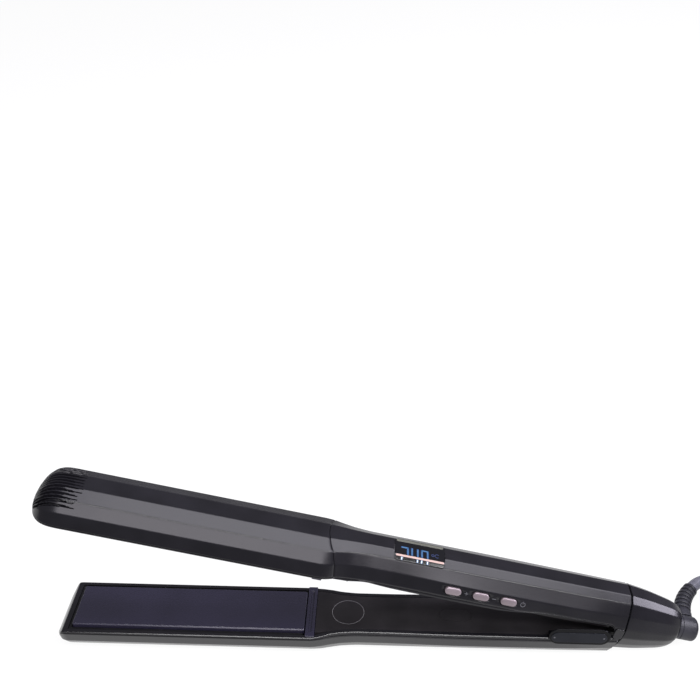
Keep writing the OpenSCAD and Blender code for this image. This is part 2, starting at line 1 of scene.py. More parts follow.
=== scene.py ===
"""Looks of the flat iron: an open hair straightener on a pale floor, built around the CAD frame.

Lengths in the arms' own frames are in millimetres; the matrix of each piece makes them metres.
In an arm's frame x runs from the tip to the cord end, y to the left and h away from the plane
where the two arms meet, so one description serves both arms.
"""

import math

import bmesh
import bpy
from mathutils import Matrix, Vector


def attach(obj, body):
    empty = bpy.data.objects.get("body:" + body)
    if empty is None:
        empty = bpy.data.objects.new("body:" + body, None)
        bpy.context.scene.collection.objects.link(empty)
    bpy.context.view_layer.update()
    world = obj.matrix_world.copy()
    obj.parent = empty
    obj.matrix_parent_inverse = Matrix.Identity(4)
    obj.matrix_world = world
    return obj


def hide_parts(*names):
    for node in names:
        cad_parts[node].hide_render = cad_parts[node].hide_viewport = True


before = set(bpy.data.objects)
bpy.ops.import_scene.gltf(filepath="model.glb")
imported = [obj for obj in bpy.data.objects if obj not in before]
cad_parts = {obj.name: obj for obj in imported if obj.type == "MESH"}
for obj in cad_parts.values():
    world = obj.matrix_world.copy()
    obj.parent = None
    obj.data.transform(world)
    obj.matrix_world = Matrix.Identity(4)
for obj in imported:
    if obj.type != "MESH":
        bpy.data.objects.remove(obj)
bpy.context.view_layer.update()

MM = 0.001

# ---- the frame's own dimensions, in millimetres, as in the CAD part ----
ARM_DEPTH = 15.4
PIVOT_X = 130.0
OPEN_DEGREES = 12.7
RIM = 0.5
# Heights of the crown, the shoulder, the side and the rim's upper end over the contact plane
CREASE_HEIGHTS = (ARM_DEPTH, 13.3, 8.5, 3.0)
WALL = 2.0
UPPER_TIP = -141.4
LOWER_TIP = -131.2
ARM_END = 120.4
# Radius of the arc that the seam of the upper casings follows, seen from above
SEAM_R = 22.0
# Beside the plates, how far the rims stand back from the contact plane
PLATE_RIM = 1.4
PLATE_FRONT, PLATE_REAR, PLATE_HALF = -124.2, -19.8, 12.0
CORD_D = 5.4
CORD_R = CORD_D / 2

# Half widths of an arm at its creases: x, rim, side, shoulder, crown
STATIONS = [
    (-120, 15.8, 14.2, 10.7, 4.3),
    (-17.5, 15.8, 14.2, 10.7, 4.3),
    (-13.4, 15.2, 13.6, 10.4, 4.2),
    (-8, 13.8, 12.2, 9.2, 3.9),
    (-3, 12.8, 11.2, 8.2, 3.6),
    (5, 12.2, 10.6, 7.6, 3.4),
    (15, 12.2, 10.6, 7.6, 3.4),
    (50, 12.6, 11.2, 7.6, 3.4),
    (95, 12.6, 10.9, 7.3, 3.4),
    (126, 11.6, 9.5, 6.9, 3.4),
]


# ---- placing ----
def shift(x, y, z):
    return Matrix.Translation((x, y, z))


def turn(angle, axis):
    """A turn by an angle in degrees."""
    return Matrix.Rotation(math.radians(angle), 4, axis)


TO_WORLD = Matrix.Scale(MM, 4)
TO_UPPER = TO_WORLD @ shift(PIVOT_X, 0, ARM_DEPTH) @ turn(OPEN_DEGREES, "Y") @ shift(-PIVOT_X, 0, 0)
TO_LOWER = TO_WORLD @ shift(0, 0, ARM_DEPTH) @ Matrix.Diagonal((1, 1, -1, 1))


# ---- camera ----
VIEW_FROM = (0.01174, -0.32189, 0.33914)
VIEW_AZIMUTH, VIEW_ELEVATION = 2.05, 30.08


def linked(name, data):
    """A new object in the scene."""
    obj = bpy.data.objects.new(name, data)
    bpy.context.scene.collection.objects.link(obj)
    return obj


def add_camera():
    """The view the iron is shown from: from the near side, looking 30 degrees down."""
    data = bpy.data.cameras.new("view")
    data.sensor_width, data.lens = 36, 49.87
    cam = linked("view", data)
    cam.location = VIEW_FROM
    azimuth, elevation = math.radians(VIEW_AZIMUTH), math.radians(VIEW_ELEVATION)
    level = math.cos(elevation)
    forward = (-math.sin(azimuth) * level, math.cos(azimuth) * level, -math.sin(elevation))
    cam.rotation_euler = Vector(forward).to_track_quat("-Z", "Y").to_euler()
    bpy.context.scene.camera = cam


add_camera()


# ---- mesh helpers ----
SMOOTH_ANGLE = 32
WELD, SHORTEST = 1e-6, 1e-7


def finish_shading(obj, mesh, smooth_angle=SMOOTH_ANGLE):
    """Smooth shading that keeps the creases sharp and the flats flat."""
    mesh.shade_smooth()
    mesh.set_sharp_from_angle(angle=math.radians(smooth_angle))
    obj.modifiers.new("flat_faces", "WEIGHTED_NORMAL").keep_sharp = True


def piece(name, verts, faces, place, body, material, smooth_angle=SMOOTH_ANGLE):
    """A closed mesh given in millimetres, placed in the frame, riding on a body."""
    mesh = bpy.data.meshes.new(name)
    mesh.from_pydata([place @ Vector(v) for v in verts], [], faces)
    bm = bmesh.new()
    bm.from_mesh(mesh)
    bmesh.ops.remove_doubles(bm, verts=bm.verts, dist=WELD)
    bmesh.ops.dissolve_degenerate(bm, edges=bm.edges, dist=SHORTEST)
    bmesh.ops.recalc_face_normals(bm, faces=bm.faces)
    bm.to_mesh(mesh)
    bm.free()
    obj = linked(name, mesh)
    mesh.materials.append(material)
    finish_shading(obj, mesh, smooth_angle)
    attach(obj, body)
    return obj


def grid_faces(rings, points, closed=True, first=0):
    """Quads between neighbouring rings of points."""
    return [
        (at + j, at + (j + 1) % points, at + points + (j + 1) % points, at + points + j)
        for at in range(first, first + (rings - 1) * points, points)
        for j in range(points if closed else points - 1)
    ]


def lofted(name, rings, place, body, material, smooth_angle=SMOOTH_ANGLE):
    """A closed skin through rings of points, with a flat end at each side."""
    n = len(rings[0])
    verts = [p for ring in rings for p in ring]
    faces = grid_faces(len(rings), n)
    faces += [tuple(range(n)), tuple(range(len(verts) - n, len(verts)))]
    return piece(name, verts, faces, place, body, material, smooth_angle)


def arc(cx, cy, r, start, sweep, steps):
    """Points round a centre, from the start through the sweep, both in degrees."""
    angles = (math.radians(start + sweep * k / steps) for k in range(steps + 1))
    return [(cx + r * math.cos(a), cy + r * math.sin(a)) for a in angles]


def stadium(length, width, steps=14):
    """Outline of a stadium, its length along x."""
    r = width / 2
    run = length / 2 - r
    return arc(run, 0, r, -90, 180, steps) + arc(-run, 0, r, 90, 180, steps)


def rounded_box(x0, x1, y0, y1, r, steps=6):
    """Outline of a rectangle with round corners."""
    low, high, left, right = y0 + r, y1 - r, x0 + r, x1 - r
    corners = ((right, low, -90), (right, high, 0), (left, high, 90), (left, low, 180))
    return [p for cx, cy, start in corners for p in arc(cx, cy, r, start, 90, steps)]


def shrunk(outline, inset):
    """The outline moved inwards by inset."""
    before, after = outline[-1:] + outline[:-1], outline[1:] + outline[:1]
    moved = []
    for (ax, ay), (x, y), (bx, by) in zip(before, outline, after):
        dx, dy = bx - ax, by - ay
        length = math.hypot(dx, dy) or 1
        moved.append((x - inset * dy / length, y + inset * dx / length))
    return moved


FACE_MARGIN = 0.2


def slab(name, outline, levels, place, body, material, smooth_angle=SMOOTH_ANGLE):
    """A plate of the outline's shape; levels are (height, inset) from one face to the other."""
    half = min(max(p[k] for p in outline) - min(p[k] for p in outline) for k in (0, 1)) / 2
    # a narrow ring inside each face keeps the face's shading flat
    margin = min(FACE_MARGIN, FACE_MARGIN * half)
    first, last = levels[0], levels[-1]
    levels = [(first[0], first[1] + margin), *levels, (last[0], last[1] + margin)]
    rings = [[(x, y, h) for x, y in shrunk(outline, inset)] for h, inset in levels]
    return lofted(name, rings, place, body, material, smooth_angle)


def soft_edges(low, high, r, steps=3):
    """Levels of a slab whose upper edge is rounded with radius r and whose lower one is small."""
    rounding = [(h, inset) for inset, h in arc(r, high - r, r, 180, -90, steps)]
    return [(low, 0.15 * r), (low + 0.15 * r, 0)] + rounding


def turned(name, profile, place, body, material, steps=64):
    """A body of revolution about x; profile is (x, radius) points."""
    turns = [arc(0, 0, r, 0, 360, steps)[:-1] for _, r in profile]
    rings = [[(x, y, h) for y, h in turn] for (x, _), turn in zip(profile, turns)]
    return lofted(name, rings, place, body, material)


def carve(obj, *cutters):
    """Cuts closed helper meshes out of a piece, then removes them."""
    for cutter in cutters:
        mod = obj.modifiers.new("cut", "BOOLEAN")
        mod.operation, mod.solver, mod.object = "DIFFERENCE", "EXACT", cutter
    bpy.context.view_layer.update()
    done = bpy.data.meshes.new_from_object(
        obj.evaluated_get(bpy.context.evaluated_depsgraph_get())
    )
    obj.modifiers.clear()
    obj.data = done
    finish_shading(obj, done)
    for cutter in cutters:
        bpy.data.objects.remove(cutter)


def stand_for(obj, slot_name, *nodes):
    """The piece is shown in place of these CAD nodes, which are hidden; slot_name is not used."""
    if nodes:
        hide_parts(*nodes)


# ---- materials ----
def fill(node, **sockets):
    """Sets a node's sockets, which are named with _ for a space."""
    for key, value in sockets.items():
        node.inputs[key.replace("_", " ")].default_value = value
    return node


def add_node(tree, kind, **sockets):
    return fill(tree.nodes.new("ShaderNode" + kind), **sockets)


def new_material(name, colour, roughness, metallic=0.0, **sockets):
    """A Principled material, its node tree and its shader."""
    mat = bpy.data.materials.new(name)
    mat.use_nodes = True
    shader = mat.node_tree.nodes["Principled BSDF"]
    fill(shader, Base_Color=(*colour, 1), Roughness=roughness, Metallic=metallic, **sockets)
    return mat, mat.node_tree, shader


def object_noise(tree, scale, detail=3, stretch=None):
    """Noise in object space, so many cells to the metre; stretch draws it out along an axis."""
    noise = add_node(tree, "TexNoise", Scale=scale, Detail=detail)
    source = add_node(tree, "TexCoord").outputs["Object"]
    if stretch:
        mapping = add_node(tree, "Mapping", Scale=stretch)
        tree.links.new(source, mapping.inputs["Vector"])
        source = mapping.outputs["Vector"]
    tree.links.new(source, noise.inputs["Vector"])
    return noise.outputs["Fac"]


def vary(tree, source, low, high, target):
    """Spreads a noise over low to high and feeds the target socket."""
    spread = add_node(tree, "MapRange", From_Min=0.3, From_Max=0.7, To_Min=low, To_Max=high)
    tree.links.new(source, spread.inputs["Value"])
    tree.links.new(spread.outputs["Result"], target)


def tint(tree, source, colour, low, high, target):
    """Colour that drifts between two shares of itself."""
    ramp = add_node(tree, "ValToRGB")
    for stop, at, share in zip(ramp.color_ramp.elements, (0.35, 0.65), (low, high)):
        stop.position, stop.color = at, (*(min(1, share * c) for c in colour), 1)
    tree.links.new(source, ramp.inputs["Fac"])
    tree.links.new(ramp.outputs["Color"], target)


def roughen(tree, shader, source, strength, distance):
    """Fine relief from a noise."""
    bump = add_node(tree, "Bump", Strength=strength, Distance=distance)
    tree.links.new(source, bump.inputs["Height"])
    tree.links.new(bump.outputs["Normal"], shader.inputs["Normal"])


# Noise cells to the metre, and the height of the fine relief in metres
SLOW_CELLS, BRUSH_SLOW_CELLS, BRUSH_CELLS, STROKE_CELLS = 60, 40, 6000, 1500
GRAIN_HEIGHT, BRUSH_HEIGHT = 0.00004, 0.00003


def moulded(name, colour, roughness, grain=9000, bump=0.08, drift=0.25, spread=0.05, **sockets):
    """Moulded plastic or rubber: a fine spark-eroded grain, and a slow drift of tone and gloss."""
    mat, tree, shader = new_material(name, colour, roughness, **sockets)
    slow = object_noise(tree, SLOW_CELLS)
    fine = object_noise(tree, grain, 2)
    tint(tree, slow, colour, 1 - drift, 1 + drift, shader.inputs["Base Color"])
    vary(tree, slow, roughness - spread, roughness + spread, shader.inputs["Roughness"])
    roughen(tree, shader, fine, bump, GRAIN_HEIGHT)
    return mat


def brushed(name, colour, roughness, along, metallic=1.0, bump=0.05, **sockets):
    """Metal with fine lines running along one axis."""
    mat, tree, shader = new_material(name, colour, roughness, metallic, **sockets)
    stretch = tuple(0.03 if axis == along else 1.0 for axis in "XYZ")
    lines = object_noise(tree, BRUSH_CELLS, 3, stretch)
    slow = object_noise(tree, BRUSH_SLOW_CELLS)
    tint(tree, slow, colour, 0.88, 1.1, shader.inputs["Base Color"])
    vary(tree, lines, roughness - 0.05, roughness + 0.07, shader.inputs["Roughness"])
    roughen(tree, shader, lines, bump, BRUSH_HEIGHT)
    return mat


def glowing(name, colour, strength):
    """A lit display stroke, a little uneven along its length."""
    mat, tree, shader = new_material(
        name, tuple(c * 0.2 for c in colour), 0.4, Emission_Strength=strength,
    )
    cells = object_noise(tree, STROKE_CELLS, 2)
    tint(tree, cells, colour, 0.85, 1, shader.inputs["Emission Color"])
    return mat


CASING = moulded(
    "satin_black_casing", (0.0065, 0.0062, 0.0080), 0.22, bump=0.04, drift=0.2, spread=0.02,
    Specular_IOR_Level=0.37,
)
PANEL = moulded(
    "matt_handle_cover", (0.0150, 0.0135, 0.0150), 0.45, grain=7000, bump=0.12,
    Specular_IOR_Level=0.22,
)
PAD = moulded(
    "cover_pad", (0.0150, 0.0135, 0.0150), 0.3, bump=0.05, spread=0.03, Specular_IOR_Level=0.24,
)
# painted highlight: a light grey that stands in for the glints along the round cover's edge
CAP_HIGHLIGHT = moulded("painted_edge_highlight", (0.115, 0.110, 0.118), 0.2, bump=0.03, spread=0.03)
TRAY = moulded("heat_resistant_tray", (0.005, 0.005, 0.006), 0.4, bump=0.08, Specular_IOR_Level=0.3)
GLOSS = moulded("gloss_black", (0.003, 0.003, 0.004), 0.08, bump=0.01, spread=0.02)
BADGE = moulded(
    "badge_black", (0.002, 0.002, 0.003), 0.12, bump=0.01, spread=0.02, Specular_IOR_Level=0.12,
)
TAIL = moulded(
    "satin_tail_cap", (0.0065, 0.0062, 0.0080), 0.24, bump=0.04, drift=0.2, spread=0.02,
    Specular_IOR_Level=0.22,
)
RUBBER = moulded(
    "satin_rubber", (0.022, 0.022, 0.028), 0.42, grain=5000, bump=0.15, Specular_IOR_Level=0.3,
)
CORD = moulded("cord_jacket", (0.105, 0.105, 0.130), 0.45, grain=4000, bump=0.2)
CERAMIC = brushed(
    "ceramic_plate", (0.019, 0.017, 0.035), 0.26, "X", metallic=0.15, bump=0.006,
    Coat_Weight=0.3, Coat_Roughness=0.12,
)
BUTTON = brushed("satin_button", (0.23, 0.190, 0.205), 0.36, "X", metallic=0.5)
FACE = moulded(
    "badge_plate", (0.009, 0.010, 0.014), 0.3, bump=0.02, spread=0.02, Specular_IOR_Level=0.13,
)
STEEL = brushed("steel", (0.55, 0.55, 0.57), 0.3, "Y")
DARK_STEEL = brushed("blackened_steel", (0.10, 0.10, 0.11), 0.35, "X")
NICKEL = brushed("nickel_pin", (0.62, 0.60, 0.55), 0.22, "X")
PRINT = moulded("printed_mark", (0.085, 0.085, 0.095), 0.5, drift=0.1)
OLIVE = moulded("window_edge", (0.088, 0.090, 0.074), 0.3, drift=0.1)
# painted highlight: a light warm colour that stands in for the bright reflection along the window's
# bevel
PAINTED_SHEEN = moulded("window_bevel_painted_highlight", (0.30, 0.20, 0.17), 0.25, drift=0.1)
WHITE_STROKE = glowing("lit_stroke_white", (0.72, 0.90, 1.0), 0.9)
STROKE = glowing("lit_stroke_blue", (0.10, 0.30, 0.60), 0.38)
HALO = glowing("stroke_glow", (0.004, 0.035, 0.14), 0.9)
FAINT = glowing("faint_symbol", (0.03, 0.05, 0.16), 0.8)
WIRE = moulded("silicone_wire", (0.25, 0.03, 0.02), 0.45)
BOARD = moulded("board_lacquer", (0.02, 0.10, 0.05), 0.4)
HEATER = moulded("heater_ceramic", (0.6, 0.58, 0.52), 0.6)
BUSH = moulded("bush_plastic", (0.55, 0.53, 0.46), 0.5)
STRAP = moulded("tie_fabric", (0.02, 0.02, 0.022), 0.85, grain=2500, bump=0.5)

# ---- the cord ----
# The hank: where its first bend has its centre, its straight run, its inner radius and its layers
HANK_X, HANK_Y = 202.0, 8.0
HANK_RUN, HANK_IN = 32.0, 16.2
LAYER_TURNS, HANK_LAYERS = 2, 6
HANK_OUT = HANK_IN + LAYER_TURNS * CORD_D
LAYER = CORD_D + 0.05
RUN_STEPS, BEND_STEPS = 4, 10
# One turn of the hank: how far along its straight run, and the direction outwards in degrees
HANK_TURN = (
    [(HANK_RUN * k / RUN_STEPS, 90) for k in range(RUN_STEPS)]
    + [(HANK_RUN, 90 - 180 * k / BEND_STEPS) for k in range(BEND_STEPS)]
    + [(HANK_RUN * (1 - k / RUN_STEPS), -90) for k in range(RUN_STEPS)]
    + [(0, -90 - 180 * k / BEND_STEPS) for k in range(BEND_STEPS)]
)
# The cord's middle line from the strain relief to the hank, and from the hank to the plug
LEAD = [
    (161.1, 25.1, 10.4), (163.1, 27.3, 10.3), (166.2, 30.1, 9.8), (169.8, 32.4, 8.9),
    (173.7, 33.9, 7.7), (177.9, 34.8, 6.4), (182, 35, 5.2), (186, 35, 4.2), (190, 35, 3.5),
    (194, 35, 3), (198, 35, 2.8),
]
END = [
    (212, 35, 29.95), (223, 35, 29.95), (234, 35, 29.95), (241, 34.6, 29.4), (248, 33.4, 27.9),
    (255, 31.6, 25.2), (262, 29.3, 21.6), (269, 26.8, 17.6), (276, 24.4, 13.8), (283, 22.2, 10.7),
    (290, 20.7, 8.4), (297, 20.1, 7.2), (303, 20, 6.85),
]


def hank_points():
    """Flat turns with long sides, layer on layer: inwards on one layer, outwards on the next."""
    points = []
    steps = LAYER_TURNS * len(HANK_TURN)
    for layer in range(HANK_LAYERS):
        for i in range(steps):
            share = i / steps
            inwards = 1 - share if layer % 2 else share
            r = HANK_OUT - (HANK_OUT - HANK_IN) * inwards
            # the last tenth of a layer climbs to the next one
            climb = max(0.0, (share - 0.9) / 0.1) if layer < HANK_LAYERS - 1 else 0.0
            run, angle = HANK_TURN[i % len(HANK_TURN)]
            x = HANK_X + run + r * math.cos(math.radians(angle))
            y = HANK_Y + r * math.sin(math.radians(angle))
            points.append((x, y, CORD_R + LAYER * (layer + climb)))
    return points


def add_cord():
    """The whole cord as one round curve, and its length in metres."""
    points = LEAD + hank_points() + END
    data = bpy.data.curves.new("mains_cord", "CURVE")
    data.dimensions = "3D"
    data.bevel_depth = CORD_R * MM
    data.bevel_resolution = 5
    data.resolution_u = 4
    data.use_fill_caps = True
    data.twist_mode = "MINIMUM"
    line = data.splines.new("BEZIER")
    line.bezier_points.add(len(points) - 1)
    for knot, p in zip(line.bezier_points, points):
        knot.co = Vector(p) * MM
        knot.handle_left_type = knot.handle_right_type = "AUTO"
    cord = linked("mains_cord", data)
    data.materials.append(CORD)
    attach(cord, "swivel")
    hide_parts("cord_lead", "cord_hank", "cord_end")
    length = sum((Vector(b) - Vector(a)).length for a, b in zip(points, points[1:]))
    return cord, length * MM


# ---- casings ----
def clamp(t):
    return min(1.0, max(0.0, t))


def follow(stations, x):
    """The stations' values at x, on smooth curves through them that don't overshoot."""
    x = min(max(x, stations[0][0]), stations[-1][0])
    i = max(k for k in range(len(stations) - 1) if stations[k][0] <= x)

    def rise(k, w):
        return (stations[k + 1][w] - stations[k][w]) / (stations[k + 1][0] - stations[k][0])

    def slope(k, w):
        if k == 0 or k == len(stations) - 1:
            return rise(min(k, len(stations) - 2), w)
        a, b = rise(k - 1, w), rise(k, w)
        return 2 * a * b / (a + b) if a * b > 0 else 0.0

    x0, x1 = stations[i][0], stations[i + 1][0]
    d = x1 - x0
    t = (x - x0) / d
    return [
        (2 * t**3 - 3 * t**2 + 1) * stations[i][w]
        + (t**3 - 2 * t**2 + t) * d * slope(i, w)
        + (3 * t**2 - 2 * t**3) * stations[i + 1][w]
        + (t**3 - t**2) * d * slope(i + 1, w)
        for w in range(1, len(stations[0]))
    ]


def cut_at(points, radii, i):
    """How far before and after a corner its rounding starts."""
    if radii[i] <= 0:
        return 0.0
    before, after = (points[i] - points[i - 1]).length, (points[i + 1] - points[i]).length
    return max(1e-4, min(radii[i], 0.45 * before, 0.45 * after))


def rounded_path(corners, radii, runs, steps=4):
    """An open path through corners: each is rounded, and each straight gets its run of points."""
    points = [Vector(corner) for corner in corners]
    cuts = [cut_at(points, radii, i) for i in range(len(points))]
    path = [corners[0]]
    for i, run in enumerate(runs, 1):
        here, straight = points[i], points[i] - points[i - 1]
        heading = straight.normalized() if straight.length > 1e-6 else Vector((0, 0))
        start = points[i - 1] + heading * cuts[i - 1]
        stop = here - heading * cuts[i]
        path += [tuple(start.lerp(stop, k / (run + 1))) for k in range(1, run + 1)]
        if cuts[i] == 0.0:
            path.append(tuple(here))
            continue
        leave = here + (points[i + 1] - here).normalized() * cuts[i]
        for k in range(steps + 1):
            t = k / steps
            path.append(tuple((1 - t) ** 2 * stop + 2 * t * (1 - t) * here + t**2 * leave))
    return path


# Radii of the corners from the crown's middle to the rim, and the points in each straight
CREASE_RADII = (0, 0.45, 0.45, 0.45, 0.5, 0, 0, 0, 0, 0.06, 0.06, 0)
FACET_RUNS = (14, 20, 18, 6, 1, 0, 0, 0, 0, 0, 2)
INNER_RADII = (0, 0.45, 0.45, 0.45, 0.5, 0.02, 0.02, 0.02, 0.02, 0.02, 0.02, 0)
# The small flat that breaks a rim's outer edge: its width and its height
RIM_CHAMFER = (0.34, 0.28)
# The rim is at least so tall, and a line is cut along it at these shares of its height
RIM_LEAST = 1.3
LINE_DEPTH, LINE_DEPTH_SHARE = 0.28, 0.3
LINE_SHARES = (0.22, 0.28, 0.42, 0.48)
# Points of the inside wall over the rim's height
INNER_STEPS = (3.6, 3.0, 2.4, 1.8, 1.2, 0.6, 0.1)


def outer_half(widths, low, high, lift):
    """Half section of a casing's outside, from the middle of the crown to the edge of its rim."""
    rim, side, shoulder, crown = widths
    scale = (high - low) / (ARM_DEPTH - RIM)

    def level(h):
        return low + (h - RIM) * scale

    edge = low + lift
    shoulder_h, side_h, rim_h = (level(h) for h in CREASE_HEIGHTS[1:])
    crease = max(rim_h, edge + RIM_LEAST)
    out = rim + (side - rim) * ((crease - rim_h) / (side_h - rim_h))
    line = min(LINE_DEPTH, LINE_DEPTH_SHARE * rim)
    line_h = [crease - share * (crease - edge) for share in LINE_SHARES]
    corners = [
        (0, high), (crown, high), (shoulder, shoulder_h), (side, side_h), (out, crease),
        (out, line_h[0]), (out - line, line_h[1]), (out - line, line_h[2]), (out, line_h[3]),
        (out, edge + RIM_CHAMFER[1]), (out - RIM_CHAMFER[0], edge), (out - 0.5 * WALL, edge),
    ]
    return rounded_path(corners, CREASE_RADII, FACET_RUNS)


def inner_half(widths, low, high, hollow):
    """The matching half section of the inside; a solid stretch has it flat at the rim's height."""
    rim, side, shoulder, crown = widths
    roof = high - WALL
    corners = [
        (0, roof), (crown - 0.3, roof), (shoulder - WALL - 0.3, high - 4.0), (side - WALL, 7.6),
        *[(rim - WALL, low + dh) for dh in INNER_STEPS],
        (rim - WALL + 0.05, low),
    ]
    path = rounded_path(corners, INNER_RADII, FACET_RUNS)
    if not hollow:
        top = max(0.01, rim - WALL)
        n = len(path)
        path = [(top * k / (n - 1), low) for k in range(n)]
    return path


class Ring:
    """A section of a casing: its place, widths and heights, and how it is bowed back or slanted."""

    def __init__(self, x, widths, low=RIM, high=ARM_DEPTH, hollow=True, bow=0.0, skew=0.0):
        self.x, self.widths, self.low, self.high = x, widths, low, high
        self.hollow, self.bow, self.skew = hollow, bow, skew

    def points(self, lift):
        """The near half, from the crown's outside round to its inside."""
        outer = outer_half(self.widths, self.low, self.high, lift)
        inner = inner_half(self.widths, self.low + lift, self.high, self.hollow)
        half = outer + inner[::-1]
        lean = self.skew * math.tan(math.radians(OPEN_DEGREES))
        return [(self.x + self.bow * bow_at(y) - lean * h, -y, h) for y, h in half]


def bow_at(y):
    """How far the seam's arc has run back at y from the arm's middle."""
    return SEAM_R - math.sqrt(SEAM_R**2 - y**2)


def bowed_ring(x, bow):
    """A ring that is bent back towards its sides, with each crease where its own x puts it."""
    straight = follow(STATIONS, x)
    widths = [follow(STATIONS, x + bow * bow_at(w))[k] for k, w in enumerate(straight)]
    return Ring(x, widths, bow=bow)


def casing(name, rings, body, place, lift, groove=None):
    """A shell through the rings, its rim lifted: near halves and far halves in one closed skin."""
    near = [ring.points(lift(ring.x)) for ring in rings]
    n = len(near[0])
    outer = n // 2
    if groove:
        near = groove(near, outer)
    far = [[(x, -y, h) for x, y, h in ring] for ring in near]
    verts, faces = [], []
    for half in (near, far):
        first = len(verts)
        verts += [p for ring in half for p in ring]
        faces += grid_faces(len(rings), n, closed=False, first=first)
        for i in (0, len(rings) - 1):
            at = first + i * n
            faces += [(at + j, at + j + 1, at + n - 2 - j, at + n - 1 - j) for j in range(outer - 1)]
    return piece(name, verts, faces, place, body, CASING)


def nose_rings(tip, length, count, width_at, low_at, high_at):
    """Sections of a rounded tip; t runs from 0 at the tip to 1 where the full section starts."""
    rings = []
    for i in range(count):
        t = (i / count) ** 1.6
        widths = [w * width_at(t) for w in STATIONS[0][1:]]
        rings.append(Ring(tip + t * length, widths, low_at(t), high_at(t), hollow=False))
    return rings


def ease(t, power):
    """Rises from 0 to 1, steeply at first."""
    return 1 - (1 - t) ** power


# Length of each rounded tip, and the height at which the upper one starts
UPPER_NOSE, LOWER_NOSE = 15.0, 6.0
NOSE_LOW = 3.2


def upper_tip_rings():
    """A long nose that is narrow and low at the tip."""
    return nose_rings(
        UPPER_TIP, UPPER_NOSE, 40,
        lambda t: max(0.16, ease(t, 3) ** (1 / 2.43)),
        lambda t: RIM,
        lambda t: NOSE_LOW + (ARM_DEPTH - NOSE_LOW) * ease(t, 3) ** (1 / 1.37),
    )


def lower_tip_rings():
    """A short blunt nose, cut away from the contact plane."""
    return nose_rings(
        LOWER_TIP, LOWER_NOSE, 16,
        lambda t: 0.72 + 0.28 * ease(t, 3.4),
        lambda t: RIM + 5.0 * max(0.0, 1 - t / 0.53) ** 1.15,
        lambda t: 11.4 + 4.0 * ease(t, 3.3),
    )


def span_xs(start, stop, step):
    """Places from start to stop, evenly spaced by about the step."""
    count = max(2, round((stop - start) / step) + 1)
    return [start + (stop - start) * i / (count - 1) for i in range(count)]


# Grip grooves: their spacing, half width, greatest depth and wall slope
GROOVE_PITCH, GROOVE_HALF, GROOVE_DEEP, GROOVE_WALL = 1.8, 0.62, 1.3, 4.0
# A groove is at least so deep, because shallow slopes mirror the lights as specks
GROOVE_SHALLOW = 0.95
GROOVE_ROWS = 8
GROOVE_END, GROOVE_TAPER = -119.5, 9.0


def along_ring(ring, count):
    """Distance of each of a ring's first points from its first one."""
    total, distances = 0.0, [0.0]
    for j in range(1, count):
        total += (Vector(ring[j]) - Vector(ring[j - 1])).length
        distances.append(total)
    return distances


def groove_depth(s, x):
    """Depth of the grip grooves at distance s from the crown's middle: rows that run out to points."""
    row = round(s / GROOVE_PITCH - 0.5)
    if row >= GROOVE_ROWS:
        return 0.0
    to_middle = abs(s - (row + 0.5) * GROOVE_PITCH)
    end = GROOVE_END - 0.25 * row
    half = GROOVE_HALF * clamp((end - x) / GROOVE_TAPER) ** 0.8
    depth = min(GROOVE_DEEP, GROOVE_WALL * max(0.0, half - to_middle))
    return 0.0 if depth < 0.3 * GROOVE_SHALLOW else max(depth, GROOVE_SHALLOW)


def cut_grip_grooves(near, outer):
    """Grip grooves over the cool tip, which follow the tip's length."""
    full = along_ring(near[-1], outer)
    grooved = [list(ring) for ring in near]
    for i, ring in enumerate(near):
        if ring[0][0] > GROOVE_END:
            continue
        here = along_ring(ring, outer)
        gather = (here[-1] / full[-1]) ** 0.45
        for j in range(outer):
            depth = groove_depth(full[j] * gather, ring[j][0])
            if depth == 0.0:
                continue
            ahead = Vector(near[i + 1][j]) - Vector(near[max(i - 1, 0)][j])
            across = Vector(ring[min(j + 1, outer - 1)]) - Vector(ring[max(j - 1, 0)])
            inwards = across.cross(ahead)
            if inwards.length < 1e-9:
                continue
            inwards.normalize()
            # towards the arm's inside: down, and away from the near side
            if inwards.z - inwards.y > 0 and inwards.x < 0.3 or inwards.x < -0.3:
                inwards = -inwards
            grooved[i][j] = tuple(Vector(ring[j]) + inwards * depth)
    return grooved


# Beside the badge the upper rim arches up: where it starts, is at its top and stops
ARCH_START, ARCH_FULL, ARCH_STOP, ARCH_ROUND = 60.0, 87.5, 116.1, 3.2
ARCH_TOP = 2.6
# The low swell of the rim over the shoulder
SWELL_TOP, SWELL_X, SWELL_LONG = 0.9, 3, 9.0
# Where the rims step out from beside the plates
RIM_STEP_START, RIM_STEP_END = -15.0, -8.0


def rim_lift(x):
    """The upper rim rises over the shoulder and towards the hinge badge, and rounds its rear end."""
    shoulder = SWELL_TOP * math.exp(-(((x - SWELL_X) / SWELL_LONG) ** 2))
    t = clamp((x - ARCH_START) / (ARCH_FULL - ARCH_START))
    ramp = ARCH_TOP * t * t * (3 - 2 * t)
    to_stop = ARCH_STOP - x
    if to_stop < 0:
        ramp = 0.0
    elif to_stop < ARCH_ROUND:
        ramp *= math.sqrt(1 - (1 - to_stop / ARCH_ROUND) ** 2)
    return max(shoulder, ramp)


def plate_rim_lift(x):
    """Beside the plates and the crossbar the rims stand further back from the contact plane."""
    return (PLATE_RIM - RIM) * clamp((RIM_STEP_END - x) / (RIM_STEP_END - RIM_STEP_START))


def upper_rim_lift(x):
    return max(plate_rim_lift(x), rim_lift(x))


# The tips are solid up to SOLID_END and hollow from HOLLOW_START on
SOLID_END, HOLLOW_START = -125.7, -125.6
# Across the seam: the front shell's last full section and its edge, then the rear shell's
SEAM_FRONT, SEAM_FRONT_EDGE, SEAM_REAR_EDGE, SEAM_REAR = -15.95, -15.5, -15.27, -15.15
LOWER_END = 119.6


def plain_rings(start, stop, step):
    """Upright sections from start to stop."""
    return [Ring(x, follow(STATIONS, x)) for x in span_xs(start, stop, step)]


def solid_ring(x):
    return Ring(x, STATIONS[0][1:], hollow=False)


